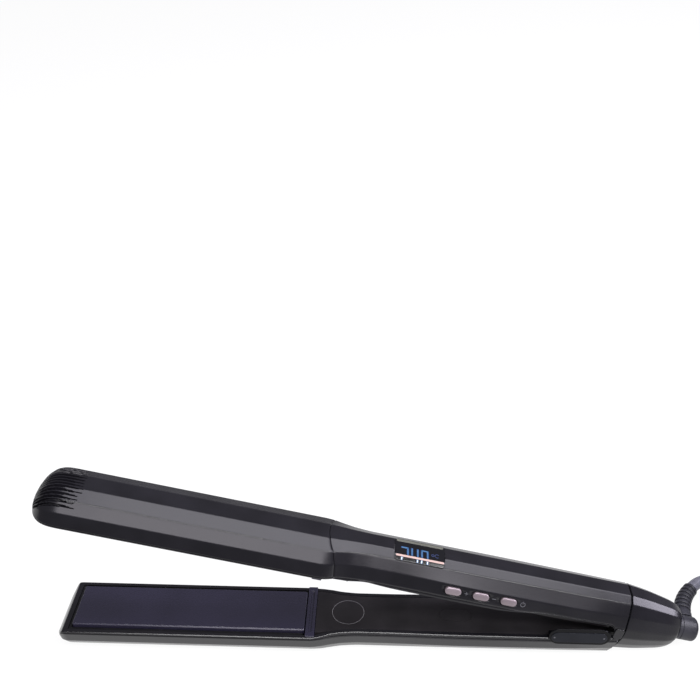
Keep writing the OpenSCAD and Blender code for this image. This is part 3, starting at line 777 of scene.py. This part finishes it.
def seam_edge(x, drop):
    """The drawn-in section that ends a shell at the seam."""
    return Ring(x, [0.99 * w for w in bowed_ring(x, 1).widths], high=ARM_DEPTH - drop, bow=1)


def rear_edge(x, skew=0.0):
    """The drawn-in section that ends a shell at the tail cap."""
    return Ring(x, [0.98 * w for w in follow(STATIONS, x)], high=ARM_DEPTH - 0.25, skew=skew)


def add_casings():
    """The three outer shells; the rear one of the upper arm is returned for its cut-outs."""
    # upper arm, tip to seam
    rings = upper_tip_rings()
    rings += [solid_ring(x) for x in span_xs(UPPER_TIP + UPPER_NOSE, SOLID_END, 0.7)]
    rings += plain_rings(HOLLOW_START, -118.6, 0.5)
    rings += plain_rings(-116, -32, 8)
    rings += [bowed_ring(x, clamp((x + 30) / 12)) for x in span_xs(-30, SEAM_FRONT, 0.8)]
    rings.append(seam_edge(SEAM_FRONT_EDGE, 0.14))
    front = casing(
        "upper_shell_front", rings, "upper_arm", TO_UPPER, plate_rim_lift, cut_grip_grooves,
    )
    stand_for(front, "casing", "upper_casing_front")

    # upper arm, seam to tail cap
    rings = [seam_edge(SEAM_REAR_EDGE, 0.12)]
    rings += [bowed_ring(x, clamp((8 - x) / 16)) for x in span_xs(SEAM_REAR, 22, 0.9)]
    for start, stop, step in ((24, 84, 3), (86, 113, 1.5), (113.4, 117.6, 0.2), (119.6, 120.2, 0.6)):
        rings += plain_rings(start, stop, step)
    rings.append(rear_edge(ARM_END))
    rear = casing("upper_shell_rear", rings, "upper_arm", TO_UPPER, upper_rim_lift)
    stand_for(rear, "casing", "upper_casing_rear")

    # lower arm
    rings = [*lower_tip_rings(), solid_ring(SOLID_END)]
    for start, stop, step in ((HOLLOW_START, -24, 8), (-22, 12, 1.0), (15, 100, 5)):
        rings += plain_rings(start, stop, step)
    rings += [
        Ring(x, follow(STATIONS, x), skew=clamp((x - 100) / 16)) for x in span_xs(102, 119.4, 2)
    ]
    rings.append(rear_edge(LOWER_END, skew=1.0))
    lower = casing("lower_shell", rings, "lower_arm", TO_LOWER, plate_rim_lift)
    stand_for(lower, "casing", "lower_casing")
    return rear


# ---- frames on the arms ----
def on_crown(y):
    """Flat on the upper arm's crown, z out of it."""
    return TO_UPPER @ shift(0, y, ARM_DEPTH)


# The middle line of the near side facet, and the facet's slope
SIDE_Y, SIDE_H, SIDE_TILT = -11.85, 5.9, 90 - 14.8


def on_side(x):
    """On the upper arm's near side facet, x along the arm and z out of the facet."""
    return TO_UPPER @ shift(x, SIDE_Y, SIDE_H) @ turn(SIDE_TILT, "X")


def outward(side):
    """Upright: y up, z away from the arm's middle to the near side (1) or the far one (-1)."""
    return Matrix.Diagonal((1, side, 1, 1)) @ turn(90, "X")


def beside_hinge(x, side):
    """Upright beside the hinge, x along the lower arm and y = 0 on the contact plane."""
    return TO_WORLD @ shift(x, 0, ARM_DEPTH) @ outward(side)


SIDES = ((1, "near"), (-1, "far"))


# ---- display ----
WINDOW_FRONT, WINDOW_REAR = 13.6, 35.8
WINDOW_NEAR, WINDOW_FAR = -7.7, 3.8
WINDOW_RISE = 0.12
WINDOW_CORNER, WINDOW_THICK, WINDOW_EDGE, WINDOW_SAMPLES = 1.3, 1.3, 0.12, 90
RECESS_GAP, RECESS_NEAR, RECESS_DEPTH = 0.08, -5.0, 0.9
# The window's top, its narrow bevel and its front slope: their slopes, and where the last two start
TOP_SLOPE, BEVEL_SLOPE, FRONT_SLOPE = 0.06, 0.36, 0.75
BEVEL_FAR, BEVEL_NEAR = -5.4, -6.3
TRIM_WIDE, BEVEL_WIDE = 1.5, 0.95
CUT_ABOVE = 3


def window_height(y):
    """Height of the window over the crown's plane."""
    top = WINDOW_RISE - TOP_SLOPE * (WINDOW_FAR - max(y, BEVEL_FAR))
    bevel = BEVEL_SLOPE * max(0.0, BEVEL_FAR - max(y, BEVEL_NEAR))
    return top - bevel - FRONT_SLOPE * max(0.0, BEVEL_NEAR - y)


def smooth_height(y, width=0.12, steps=4):
    """The window's height with its two bends rounded."""
    reach = [width * (k / steps) for k in range(-steps, steps + 1)]
    return sum(window_height(y + d) for d in reach) / len(reach)


def on_window(x, y, slope):
    """On the window, y up its slope."""
    tilt = math.degrees(math.atan(slope))
    return TO_UPPER @ shift(x, y, ARM_DEPTH + window_height(y)) @ turn(tilt, "X")


def window_ring(x, edge):
    """A section of the window across the arm; its upper edges stand lower, and edge lowers the rest."""
    short = WINDOW_CORNER - min(WINDOW_CORNER, x - WINDOW_FRONT, WINDOW_REAR - x)
    cut = WINDOW_CORNER - math.sqrt(max(0.0, WINDOW_CORNER**2 - short**2))
    y0, y1 = WINDOW_NEAR + cut, WINDOW_FAR - cut
    top = []
    for k in range(WINDOW_SAMPLES + 1):
        y = y0 + (y1 - y0) * k / WINDOW_SAMPLES
        drop = WINDOW_EDGE if k in (0, WINDOW_SAMPLES) else edge
        top.append((x, y, ARM_DEPTH + smooth_height(y) - drop))
    return top + [(x, y, h - WINDOW_THICK) for x, y, h in reversed(top)]


def window_strip(name, inset, y0, y1, low, high, r, place, material):
    """A thin strip along the window, its ends inset from the window's."""
    strip = slab(
        name, rounded_box(WINDOW_FRONT + inset, WINDOW_REAR - inset, y0, y1, 0.3, 3),
        soft_edges(low, high, r), place, "upper_arm", material,
    )
    stand_for(strip, "window")


def add_window(shell):
    """The display's glass in its recess, with a strip along its far edge and a light warm strip on its
    bevel, which is a painted highlight.
    """
    front, rear, far = WINDOW_FRONT - RECESS_GAP, WINDOW_REAR + RECESS_GAP, WINDOW_FAR + RECESS_GAP
    recess = slab(
        "window_recess", rounded_box(front, rear, RECESS_NEAR, far, 1.0),
        [(-RECESS_DEPTH, 0), (CUT_ABOVE, 0)], on_crown(0), "upper_arm", CASING,
    )
    carve(shell, recess)
    xs = [WINDOW_FRONT + WINDOW_CORNER * (1 - math.cos(math.radians(15 * k))) for k in range(7)]
    xs += [WINDOW_FRONT + WINDOW_REAR - x for x in reversed(xs)]
    rings = [window_ring(x, WINDOW_EDGE if x in (xs[0], xs[-1]) else 0.0) for x in xs]
    window = lofted("display_glass", rings, TO_UPPER, "upper_arm", GLOSS, smooth_angle=40)
    stand_for(window, "window", "display_window")
    trim_y = WINDOW_FAR - TRIM_WIDE - 0.15
    window_strip("display_trim_far", 0.7, 0, TRIM_WIDE, -0.4, 0.1, 0.06, on_crown(trim_y), OLIVE)
    bevel = on_window(0, BEVEL_FAR, BEVEL_SLOPE)
    # the bevel strip's light warm colour is a painted highlight along the window's bend
    window_strip("display_bevel_painted_highlight", 0.5, -BEVEL_WIDE, 0, -0.3, 0.05, 0.03, bevel, PAINTED_SHEEN)


DIGIT_WIDE, STROKE_WIDE = 3.0, 0.44
UPPER_TOP, LOWER_TOP = -0.7, BEVEL_NEAR - 0.1
UPPER_TALL, LOWER_TALL = 4.4, 1.35
DIGIT_XS = (16.5, 20.9, 25.3)
# Strokes of each digit: upper half on the window's top, lower half on its front slope
UPPER_STROKES = (("top", "right"), ("left", "right"), ("top", "left", "right"))
LOWER_STROKES = (("left",), ("right",), ("left", "right"))
LIT_LEVELS = [(-0.05, 0), (0.05, 0), (0.07, 0.03)]
GLOW_LEVELS = [(-0.05, 0), (0.02, 0), (0.03, 0.04)]
# The degree sign and the letter after the digits: name, x, radius, start and sweep in degrees
SIGNS = (("degree_ring", 30.4, 0.55, 0, 360), ("degree_letter", 32.3, 0.95, 50, 260))
SIGN_Y = -2.6


def stroke_box(kind, tall):
    """Corners of a stroke in its half of a digit, whose top is at y = 0."""
    if kind == "top":
        return 0.0, DIGIT_WIDE, -STROKE_WIDE - 0.25, 0.0
    x = 0.0 if kind == "left" else DIGIT_WIDE - STROKE_WIDE
    return x, x + STROKE_WIDE, -tall, 0.0


def hoop(name, r, half, start, sweep, place, body, material, steps=32):
    """A flat square-edged ring of radius r, or the part of one that the sweep reaches."""
    corners = ((r - half, -0.05), (r + half, -0.05), (r + half, 0.05), (r - half, 0.05))
    turns = arc(0, 0, 1, start, sweep, steps)
    rings = [[(s * x, s * y, h) for s, h in corners] for x, y in turns]
    if sweep < 360:
        return lofted(name, rings, place, body, material)
    verts = [p for ring in rings[:-1] for p in ring]
    faces = [tuple(v % len(verts) for v in face) for face in grid_faces(steps + 1, 4)]
    return piece(name, verts, faces, place, body, material)


def add_digits():
    """Three lit digits, each stroke on a wider dim glow, and the faint signs after them."""
    for n, x in enumerate(DIGIT_XS):
        upper = on_window(x, UPPER_TOP, TOP_SLOPE)
        lower = on_window(x, LOWER_TOP, FRONT_SLOPE)
        strokes = [("upper", kind, UPPER_TALL, upper, STROKE) for kind in UPPER_STROKES[n]]
        strokes += [("lower", kind, LOWER_TALL, lower, WHITE_STROKE) for kind in LOWER_STROKES[n]]
        for half, kind, tall, place, lit in strokes:
            x0, x1, y0, y1 = stroke_box(kind, tall)
            name = f"digit_{n + 1}_{half}_{kind}"
            line = rounded_box(x0, x1, y0 + 0.08, y1 - 0.08, 0.12, 3)
            slab(name, line, LIT_LEVELS, place, "upper_arm", lit)
            glow = rounded_box(x0 - 0.3, x1 + 0.3, y0 - 0.1, y1 + 0.15, 0.25, 4)
            slab(name + "_glow", glow, GLOW_LEVELS, place, "upper_arm", HALO)
    for name, x, r, start, sweep in SIGNS:
        place = on_window(x, SIGN_Y, TOP_SLOPE)
        hoop(name, r, 0.14, start, sweep, place, "upper_arm", FAINT)
    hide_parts("display_digits")


CAP_X, CAP_R, CAP_TOP = -0.6, 7.3, 0.72


def add_cap_edge():
    """A light hoop on the edge of the round cover on the lower arm's panel: a painted highlight where
    the edge catches the light.
    """
    place = TO_LOWER @ shift(CAP_X, 0, CAP_TOP)
    # the hoop's light grey is a painted highlight on the cover's edge
    edge = hoop("lower_cap_edge_highlight", CAP_R - 0.1, 0.14, 0, 360, place, "lower_arm", CAP_HIGHLIGHT, steps=72)
    stand_for(edge, "panel")


# ---- buttons ----
BUTTON_XS = {"button_plus": 41.5, "button_minus": 53.9, "button_power": 66.3}
BUTTON_LONG, BUTTON_WIDE = 7.2, 3.4
POCKET_GAP, POCKET_DEPTH = 0.7, 1.6
# A cap's rounded edge, then its slightly domed top
BUTTON_LEVELS = soft_edges(-1.0, 0.72, 0.45, 4) + [(0.8, 0.9), (0.84, 1.35)]


def add_buttons(shell):
    """Three pill-shaped caps in pockets of the near side facet."""
    pocket = stadium(BUTTON_LONG + POCKET_GAP, BUTTON_WIDE + POCKET_GAP)
    levels = [(-POCKET_DEPTH, 0), (CUT_ABOVE, 0)]
    pockets = [
        slab(name + "_pocket", pocket, levels, on_side(x), "upper_arm", CASING)
        for name, x in BUTTON_XS.items()
    ]
    carve(shell, *pockets)
    outline = stadium(BUTTON_LONG, BUTTON_WIDE)
    for name, x in BUTTON_XS.items():
        cap = slab(name + "_cap", outline, BUTTON_LEVELS, on_side(x), name, BUTTON)
        stand_for(cap, "button", name)


# ---- hinge badge ----
BADGE_X, FACE_X, DOT_X = 101.7, 101.4, 10.8


def raised(length, width, middle, top=math.inf, steps=20):
    """A stadium standing upright, cut off level at the top."""
    return [(x, min(y + middle, top)) for x, y in stadium(length, width, steps)]


# Each part of a badge: x, outline, levels outwards from the arm's middle, looks, slot, and the
# end of the CAD node's name where it stands for one
DOT = raised(0.8, 0.799, 1.0, steps=8), [(13.5, 0), (13.7, 0), (13.74, 0.1)], PRINT, "badge_face", None
BADGE_PARTS = {
    "lap": (BADGE_X, raised(27, 9, 1.3), soft_edges(12.95, 13.4, 0.2), BADGE, "badge", ""),
    "block": (BADGE_X, raised(26.9, 8.9, 1.3, 2.3), [(10.8, 0), (13.1, 0)], BADGE, "badge", None),
    "plate": (
        FACE_X, raised(24.4, 5.6, 1.0), soft_edges(13.3, 13.68, 0.16), FACE, "badge_face", "_face",
    ),
    "dot_front": (FACE_X - DOT_X, *DOT),
    "dot_rear": (FACE_X + DOT_X, *DOT),
}


def add_badges():
    """A badge on each side of the hinge: a block, a lap over the upper arm, a face and two dots."""
    for side, name in SIDES:
        for part, (x, outline, levels, looks, slot_name, node) in BADGE_PARTS.items():
            place = beside_hinge(x, side)
            obj = slab(f"badge_{name}_{part}", outline, levels, place, "lower_arm", looks)
            stand_for(obj, slot_name, *([] if node is None else [f"badge_{name}{node}"]))


SKIRT_LEVELS = soft_edges(12.1, 12.45, 0.15)
SKIRT_FRONT, SKIRT_REAR, SKIRT_LOW, SKIRT_HIGH = 116.3, 120.3, -2.8, 2.9


def add_skirts():
    """Flaps at the rear end of the upper arm's rim, which close the gap beside the hinge."""
    outline = rounded_box(SKIRT_FRONT, SKIRT_REAR, SKIRT_LOW, SKIRT_HIGH, 1.2)
    for side, name in SIDES:
        place = TO_UPPER @ outward(side)
        skirt = slab(f"hinge_skirt_{name}", outline, SKIRT_LEVELS, place, "upper_arm", CASING)
        stand_for(skirt, "casing")


# ---- tail ----
# The tail cap: its section at x = 121, and how that shrinks towards the cord
CAP_STATIONS = [
    (121, 1), (130, 0.92), (137.5, 0.82), (142, 0.75), (145, 0.67), (146.4, 0.61), (147.2, 0.53),
]
CAP_CORNERS = (
    (0, -15.4), (3.4, -15.4), (6.9, -13.3), (9.5, -8.5), (11.6, -2.5),
    (11.6, 2.5), (9.5, 8.5), (6.9, 13.3), (3.4, 15.4), (0, 15.4),
)
CAP_RADII = (0, 0.45, 0.45, 0.45, 0.8, 0.8, 0.45, 0.45, 0.45, 0)
CAP_RUNS = (2,) * 9
HOLLOW_Y, HOLLOW_H, HOLLOW_END = 6.2, 8.5, 136.0
# The barrel from its flange inside the cap, through the groove round it, to its domed end
BARREL_R = 5.4
BARREL = [
    (137.2, 0.01), (137.2, 4.2), (138.4, 4.2), (138.4, 3.0), (147.6, 3.0), (147.6, 4.9),
    (147.72, 5.2), (148.0, BARREL_R), (149.0, BARREL_R), (149.12, BARREL_R - 0.22),
    (149.5, BARREL_R - 0.22), (149.62, BARREL_R), (155.2, BARREL_R), (155.8, 5.28), (156.3, 4.95),
    (156.7, 4.4), (156.95, 3.7), (157.0, 3.0), (157.0, 0.01),
]


def cap_ring(x, k):
    """The tail cap's section at x, shrunk to the share k."""
    half = rounded_path([(y * k, h * k) for y, h in CAP_CORNERS], CAP_RADII, CAP_RUNS)
    return [(x, y, h) for y, h in half] + [(x, -y, h) for y, h in reversed(half[1:-1])]


def add_tail():
    """The tail cap, hollow from the front, and the barrel that turns in it."""
    front = cap_ring(CAP_STATIONS[0][0], 1)

    def hollow(x):
        ring = []
        for _, y, h in front:
            t = min(HOLLOW_Y / max(abs(y), 1e-6), HOLLOW_H / max(abs(h), 1e-6))
            ring.append((x, y * t, h * t))
        return ring

    def circle(x, r):
        return [(x, r * y / math.hypot(y, h), r * h / math.hypot(y, h)) for _, y, h in front]

    rings = [hollow(HOLLOW_END), hollow(121.02), cap_ring(121.0, 0.975), cap_ring(121.25, 0.997)]
    rings += [cap_ring(x, follow(CAP_STATIONS, x)[0]) for x in span_xs(121.6, 144, 1.6)]
    rings += [cap_ring(x, follow(CAP_STATIONS, x)[0]) for x in span_xs(144.6, 147.2, 0.26)]
    rings += [circle(147.25, 5.9), circle(147.05, 5.7), circle(145.8, 5.65)]
    cap = lofted("tail_shell", rings, TO_UPPER, "upper_arm", TAIL)
    stand_for(cap, "casing", "tail_cap")

    barrel = turned("swivel_joint", BARREL, TO_UPPER, "swivel", RUBBER)
    stand_for(barrel, "rubber", "swivel_barrel")


# The strain relief bends on one arc: its start, its headings in degrees, the arc's radius
RELIEF_START = (152.4, 4.2, 10.4)
RELIEF_FROM, RELIEF_TO, RELIEF_BEND = 88.0, 47.0, 32.1
COLLAR_R, CORE_R, RIB_R, RELIEF_RIBS = 4.1, 3.3, 4.1, 8


def relief_ring(share, r, steps=28):
    """A round section of the strain relief, share of the way along its arc."""
    heading = math.radians(RELIEF_FROM + (RELIEF_TO - RELIEF_FROM) * share)
    start = math.radians(RELIEF_FROM)
    x = RELIEF_START[0] + RELIEF_BEND * (math.sin(start) - math.sin(heading))
    y = RELIEF_START[1] + RELIEF_BEND * (math.cos(heading) - math.cos(start))
    h = RELIEF_START[2]
    return [
        (x - side * math.sin(heading), y + side * math.cos(heading), h + up)
        for side, up in arc(0, 0, r, 0, 360, steps)[:-1]
    ]


def add_relief():
    """The strain relief: a collar at the barrel, then ribs that grow smaller towards the cord."""
    length = RELIEF_BEND * math.radians(RELIEF_FROM - RELIEF_TO)
    rings = [relief_ring(0.02, COLLAR_R - 0.1)]
    rings += [relief_ring(share, COLLAR_R) for share in (0.03, 0.07, 0.12, 0.175)]
    rings += [relief_ring(0.185, COLLAR_R - 0.25), relief_ring(0.19, CORE_R)]
    for i in range(1, RELIEF_RIBS + 1):
        fade = i / RELIEF_RIBS
        at = 0.08 + 0.88 * fade
        if at < 0.2:
            continue
        low, high = CORE_R - 0.5 * fade, RIB_R - 0.7 * fade
        rib = [(0.8, low), (0.72, high - 0.2), (0.5, high)]
        for mm, r in [(-mm, r) for mm, r in rib] + rib[::-1]:
            rings.append(relief_ring(min(1.0, at + mm / length), r))
    rings.append(relief_ring(1.0, CORE_R - 0.5))
    relief = lofted("cord_guard", rings, TO_WORLD, "swivel", RUBBER)
    stand_for(relief, "rubber", "strain_relief")
    return relief


# ---- plates ----
# Levels from the plate's back to its face, which has a bevel round it
PLATE_LEVELS = [
    (2.95, 0.1), (2.85, 0), (0.65, 0), (0.55, 0.03), (0.17, 0.38), (0.12, 0.45), (0.1, 0.57),
]


def add_plates():
    """The two coated heating plates."""
    outline = rounded_box(PLATE_FRONT, PLATE_REAR, -PLATE_HALF, PLATE_HALF, 0.95, 5)
    for arm, place in (("lower", TO_LOWER), ("upper", TO_UPPER)):
        node = arm + "_plate"
        plate = slab(arm + "_ceramic", outline, PLATE_LEVELS, place, node, CERAMIC, smooth_angle=25)
        stand_for(plate, "plate", node)


# ---- hinge ----
KNUCKLE_R, BORE_R = 5.0, 2.06
# The tongue: where it starts, its two faces under the hinge's axis, and its sides across the arm
TONGUE_START, TONGUE_TOP, TONGUE_UNDER = 96, -2.6, -6.0
TONGUE_SIDES = (-3.0, 6.0)


def add_tongue():
    """The lower arm's tongue: a flat strip ending in the knuckle that turns on the pin."""
    first = 180 + math.degrees(math.asin(-TONGUE_TOP / KNUCKLE_R))
    outline = [(TONGUE_START, TONGUE_UNDER), (TONGUE_START, TONGUE_TOP)]
    outline += arc(PIVOT_X, 0, KNUCKLE_R, first, -90 - first, 40)
    outline.append((PIVOT_X, TONGUE_UNDER))
    sides = [[(x, y, h) for x, h in outline] for y in TONGUE_SIDES]
    place = TO_WORLD @ shift(0, 0, ARM_DEPTH) @ Matrix.Diagonal((1, -1, 1, 1))
    tongue = lofted("hinge_tongue", sides, place, "lower_arm", TRAY)
    place = TO_WORLD @ shift(PIVOT_X, 0, ARM_DEPTH) @ turn(90, "Z")
    hole = turned("bore", [(-20, BORE_R), (20, BORE_R)], place, "lower_arm", TRAY, steps=40)
    carve(tongue, hole)
    stand_for(tongue, "casing", "lower_casing")


# ---- CAD nodes shown as they are ----
def dress(node, material, bevel):
    """A CAD node keeps its shape and gets its finish, with its edges softened."""
    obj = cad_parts[node]
    obj.data.materials.clear()
    obj.data.materials.append(material)
    if bevel:
        obj.modifiers.new("weld", "WELD").merge_threshold = 0.01 * MM
        edges = obj.modifiers.new("edges", "BEVEL")
        edges.width = bevel * MM
        edges.segments = 3
        edges.limit_method = "ANGLE"
        edges.angle_limit = math.radians(35)
        edges.harden_normals = True


def dress_nodes():
    """The CAD nodes that no piece stands for get their finishes."""
    # finish, width of the softened edges in millimetres, nodes
    finishes = (
        (PANEL, 0.3, "lower_panel"), (PANEL, 0.18, "upper_panel"),
        (PAD, 0.25, "lower_panel_pad lower_panel_cap"),
        (TRAY, 0.1, "lower_tray upper_tray button_switches"),
        (CERAMIC, 0.4, "lower_crossbar upper_crossbar"),
        (HEATER, 0.0, "lower_heater upper_heater"),
        (STEEL, 0.0, "lower_sensor upper_sensor lower_float_springs upper_float_springs"),
        (STEEL, 0.0, "hinge_pin return_spring"),
        (DARK_STEEL, 0.05, "lower_screws upper_screws"),
        (WIRE, 0.0, "heater_wires"), (RUBBER, 0.0, "upper_stop_pad"),
        (BOARD, 0.0, "display_module control_board"), (PRINT, 0.0, "button_marks"),
        (BUSH, 0.0, "swivel_bush"), (STRAP, 0.25, "cord_tie"), (RUBBER, 0.6, "plug_body"),
        (NICKEL, 0.0, "plug_pins"),
    )
    for material, bevel, nodes in finishes:
        for node in nodes.split():
            dress(node, material, bevel)


# ---- finish ----
def add_floor():
    """A pale floor that ends in front of the iron, so that its side facets mirror the dim room."""
    left, right, near, far, below = -1.8, 1.8, -0.11, 2.6, -0.0005
    corners = [(left, near, below), (right, near, below), (right, far, below), (left, far, below)]
    mesh = bpy.data.meshes.new("floor")
    mesh.from_pydata(corners, [], [(0, 1, 2, 3)])
    floor = linked("floor", mesh)
    mat = new_material(
        "studio_floor", (0.09, 0.09, 0.09), 0.8, Specular_IOR_Level=0.0,
        Emission_Color=(1, 1, 1, 1), Emission_Strength=0.92,
    )[0]
    mesh.materials.append(mat)


def softbox(name, at, target, size, radiance, colour):
    """A rectangular light of that radiance, turned towards the target."""
    data = bpy.data.lights.new(name, "AREA")
    data.shape = "RECTANGLE"
    data.size, data.size_y = size
    data.energy = radiance * math.pi * size[0] * size[1]
    data.color = colour
    light = linked(name, data)
    light.location = at
    light.rotation_euler = (Vector(target) - Vector(at)).to_track_quat("-Z", "Y").to_euler()


def add_room():
    """Pale where the camera sees past the floor, dim where the iron mirrors it."""
    world = bpy.data.worlds.new("studio")
    bpy.context.scene.world = world
    world.use_nodes = True
    tree = world.node_tree
    dim = fill(tree.nodes["Background"], Color=(0.92, 0.90, 1.0, 1), Strength=0.30)
    pale = add_node(tree, "Background", Color=(1, 1, 1, 1), Strength=1.0)
    mix = add_node(tree, "MixShader")
    ray = add_node(tree, "LightPath")
    tree.links.new(ray.outputs["Is Camera Ray"], mix.inputs["Fac"])
    tree.links.new(dim.outputs["Background"], mix.inputs[1])
    tree.links.new(pale.outputs["Background"], mix.inputs[2])
    tree.links.new(mix.outputs["Shader"], tree.nodes["World Output"].inputs["Surface"])


# Name, place, target, size, radiance and colour of each light
LIGHTS = (
    ("overhead", (0.45, 0.10, 1.13), (0.45, 0, 0), (1.1, 0.6), 5.0, (1.0, 0.98, 1.06)),
    ("front", (0.09, -1.02, 0.64), (0.09, 0, 0.03), (0.82, 0.36), 5.6, (1.0, 0.96, 1.03)),
    ("front_right", (0.68, -1.02, 0.64), (0.68, 0, 0.03), (0.36, 0.36), 1.6, (1.0, 0.96, 1.03)),
    ("strip", (0.25, -0.63, 1.02), (0.15, 0, 0.03), (1.3, 0.13), 24.0, (1, 1, 1)),
    ("right_high", (1.45, 0.05, 0.85), (0.1, 0, 0.03), (0.8, 0.8), 19.0, (1.0, 0.96, 1.12)),
)


def add_lights():
    """Softboxes, each mirrored by one set of facets, and the dim room round them."""
    for light in LIGHTS:
        softbox(*light)
    add_room()
    bpy.context.scene.view_settings.view_transform = "Standard"


cord, cord_length = add_cord()
relief = add_relief()
rear_shell = add_casings()
add_window(rear_shell)
add_digits()
add_cap_edge()
add_buttons(rear_shell)
add_badges()
add_skirts()
add_tail()
add_plates()
add_tongue()
dress_nodes()
add_floor()
add_lights()
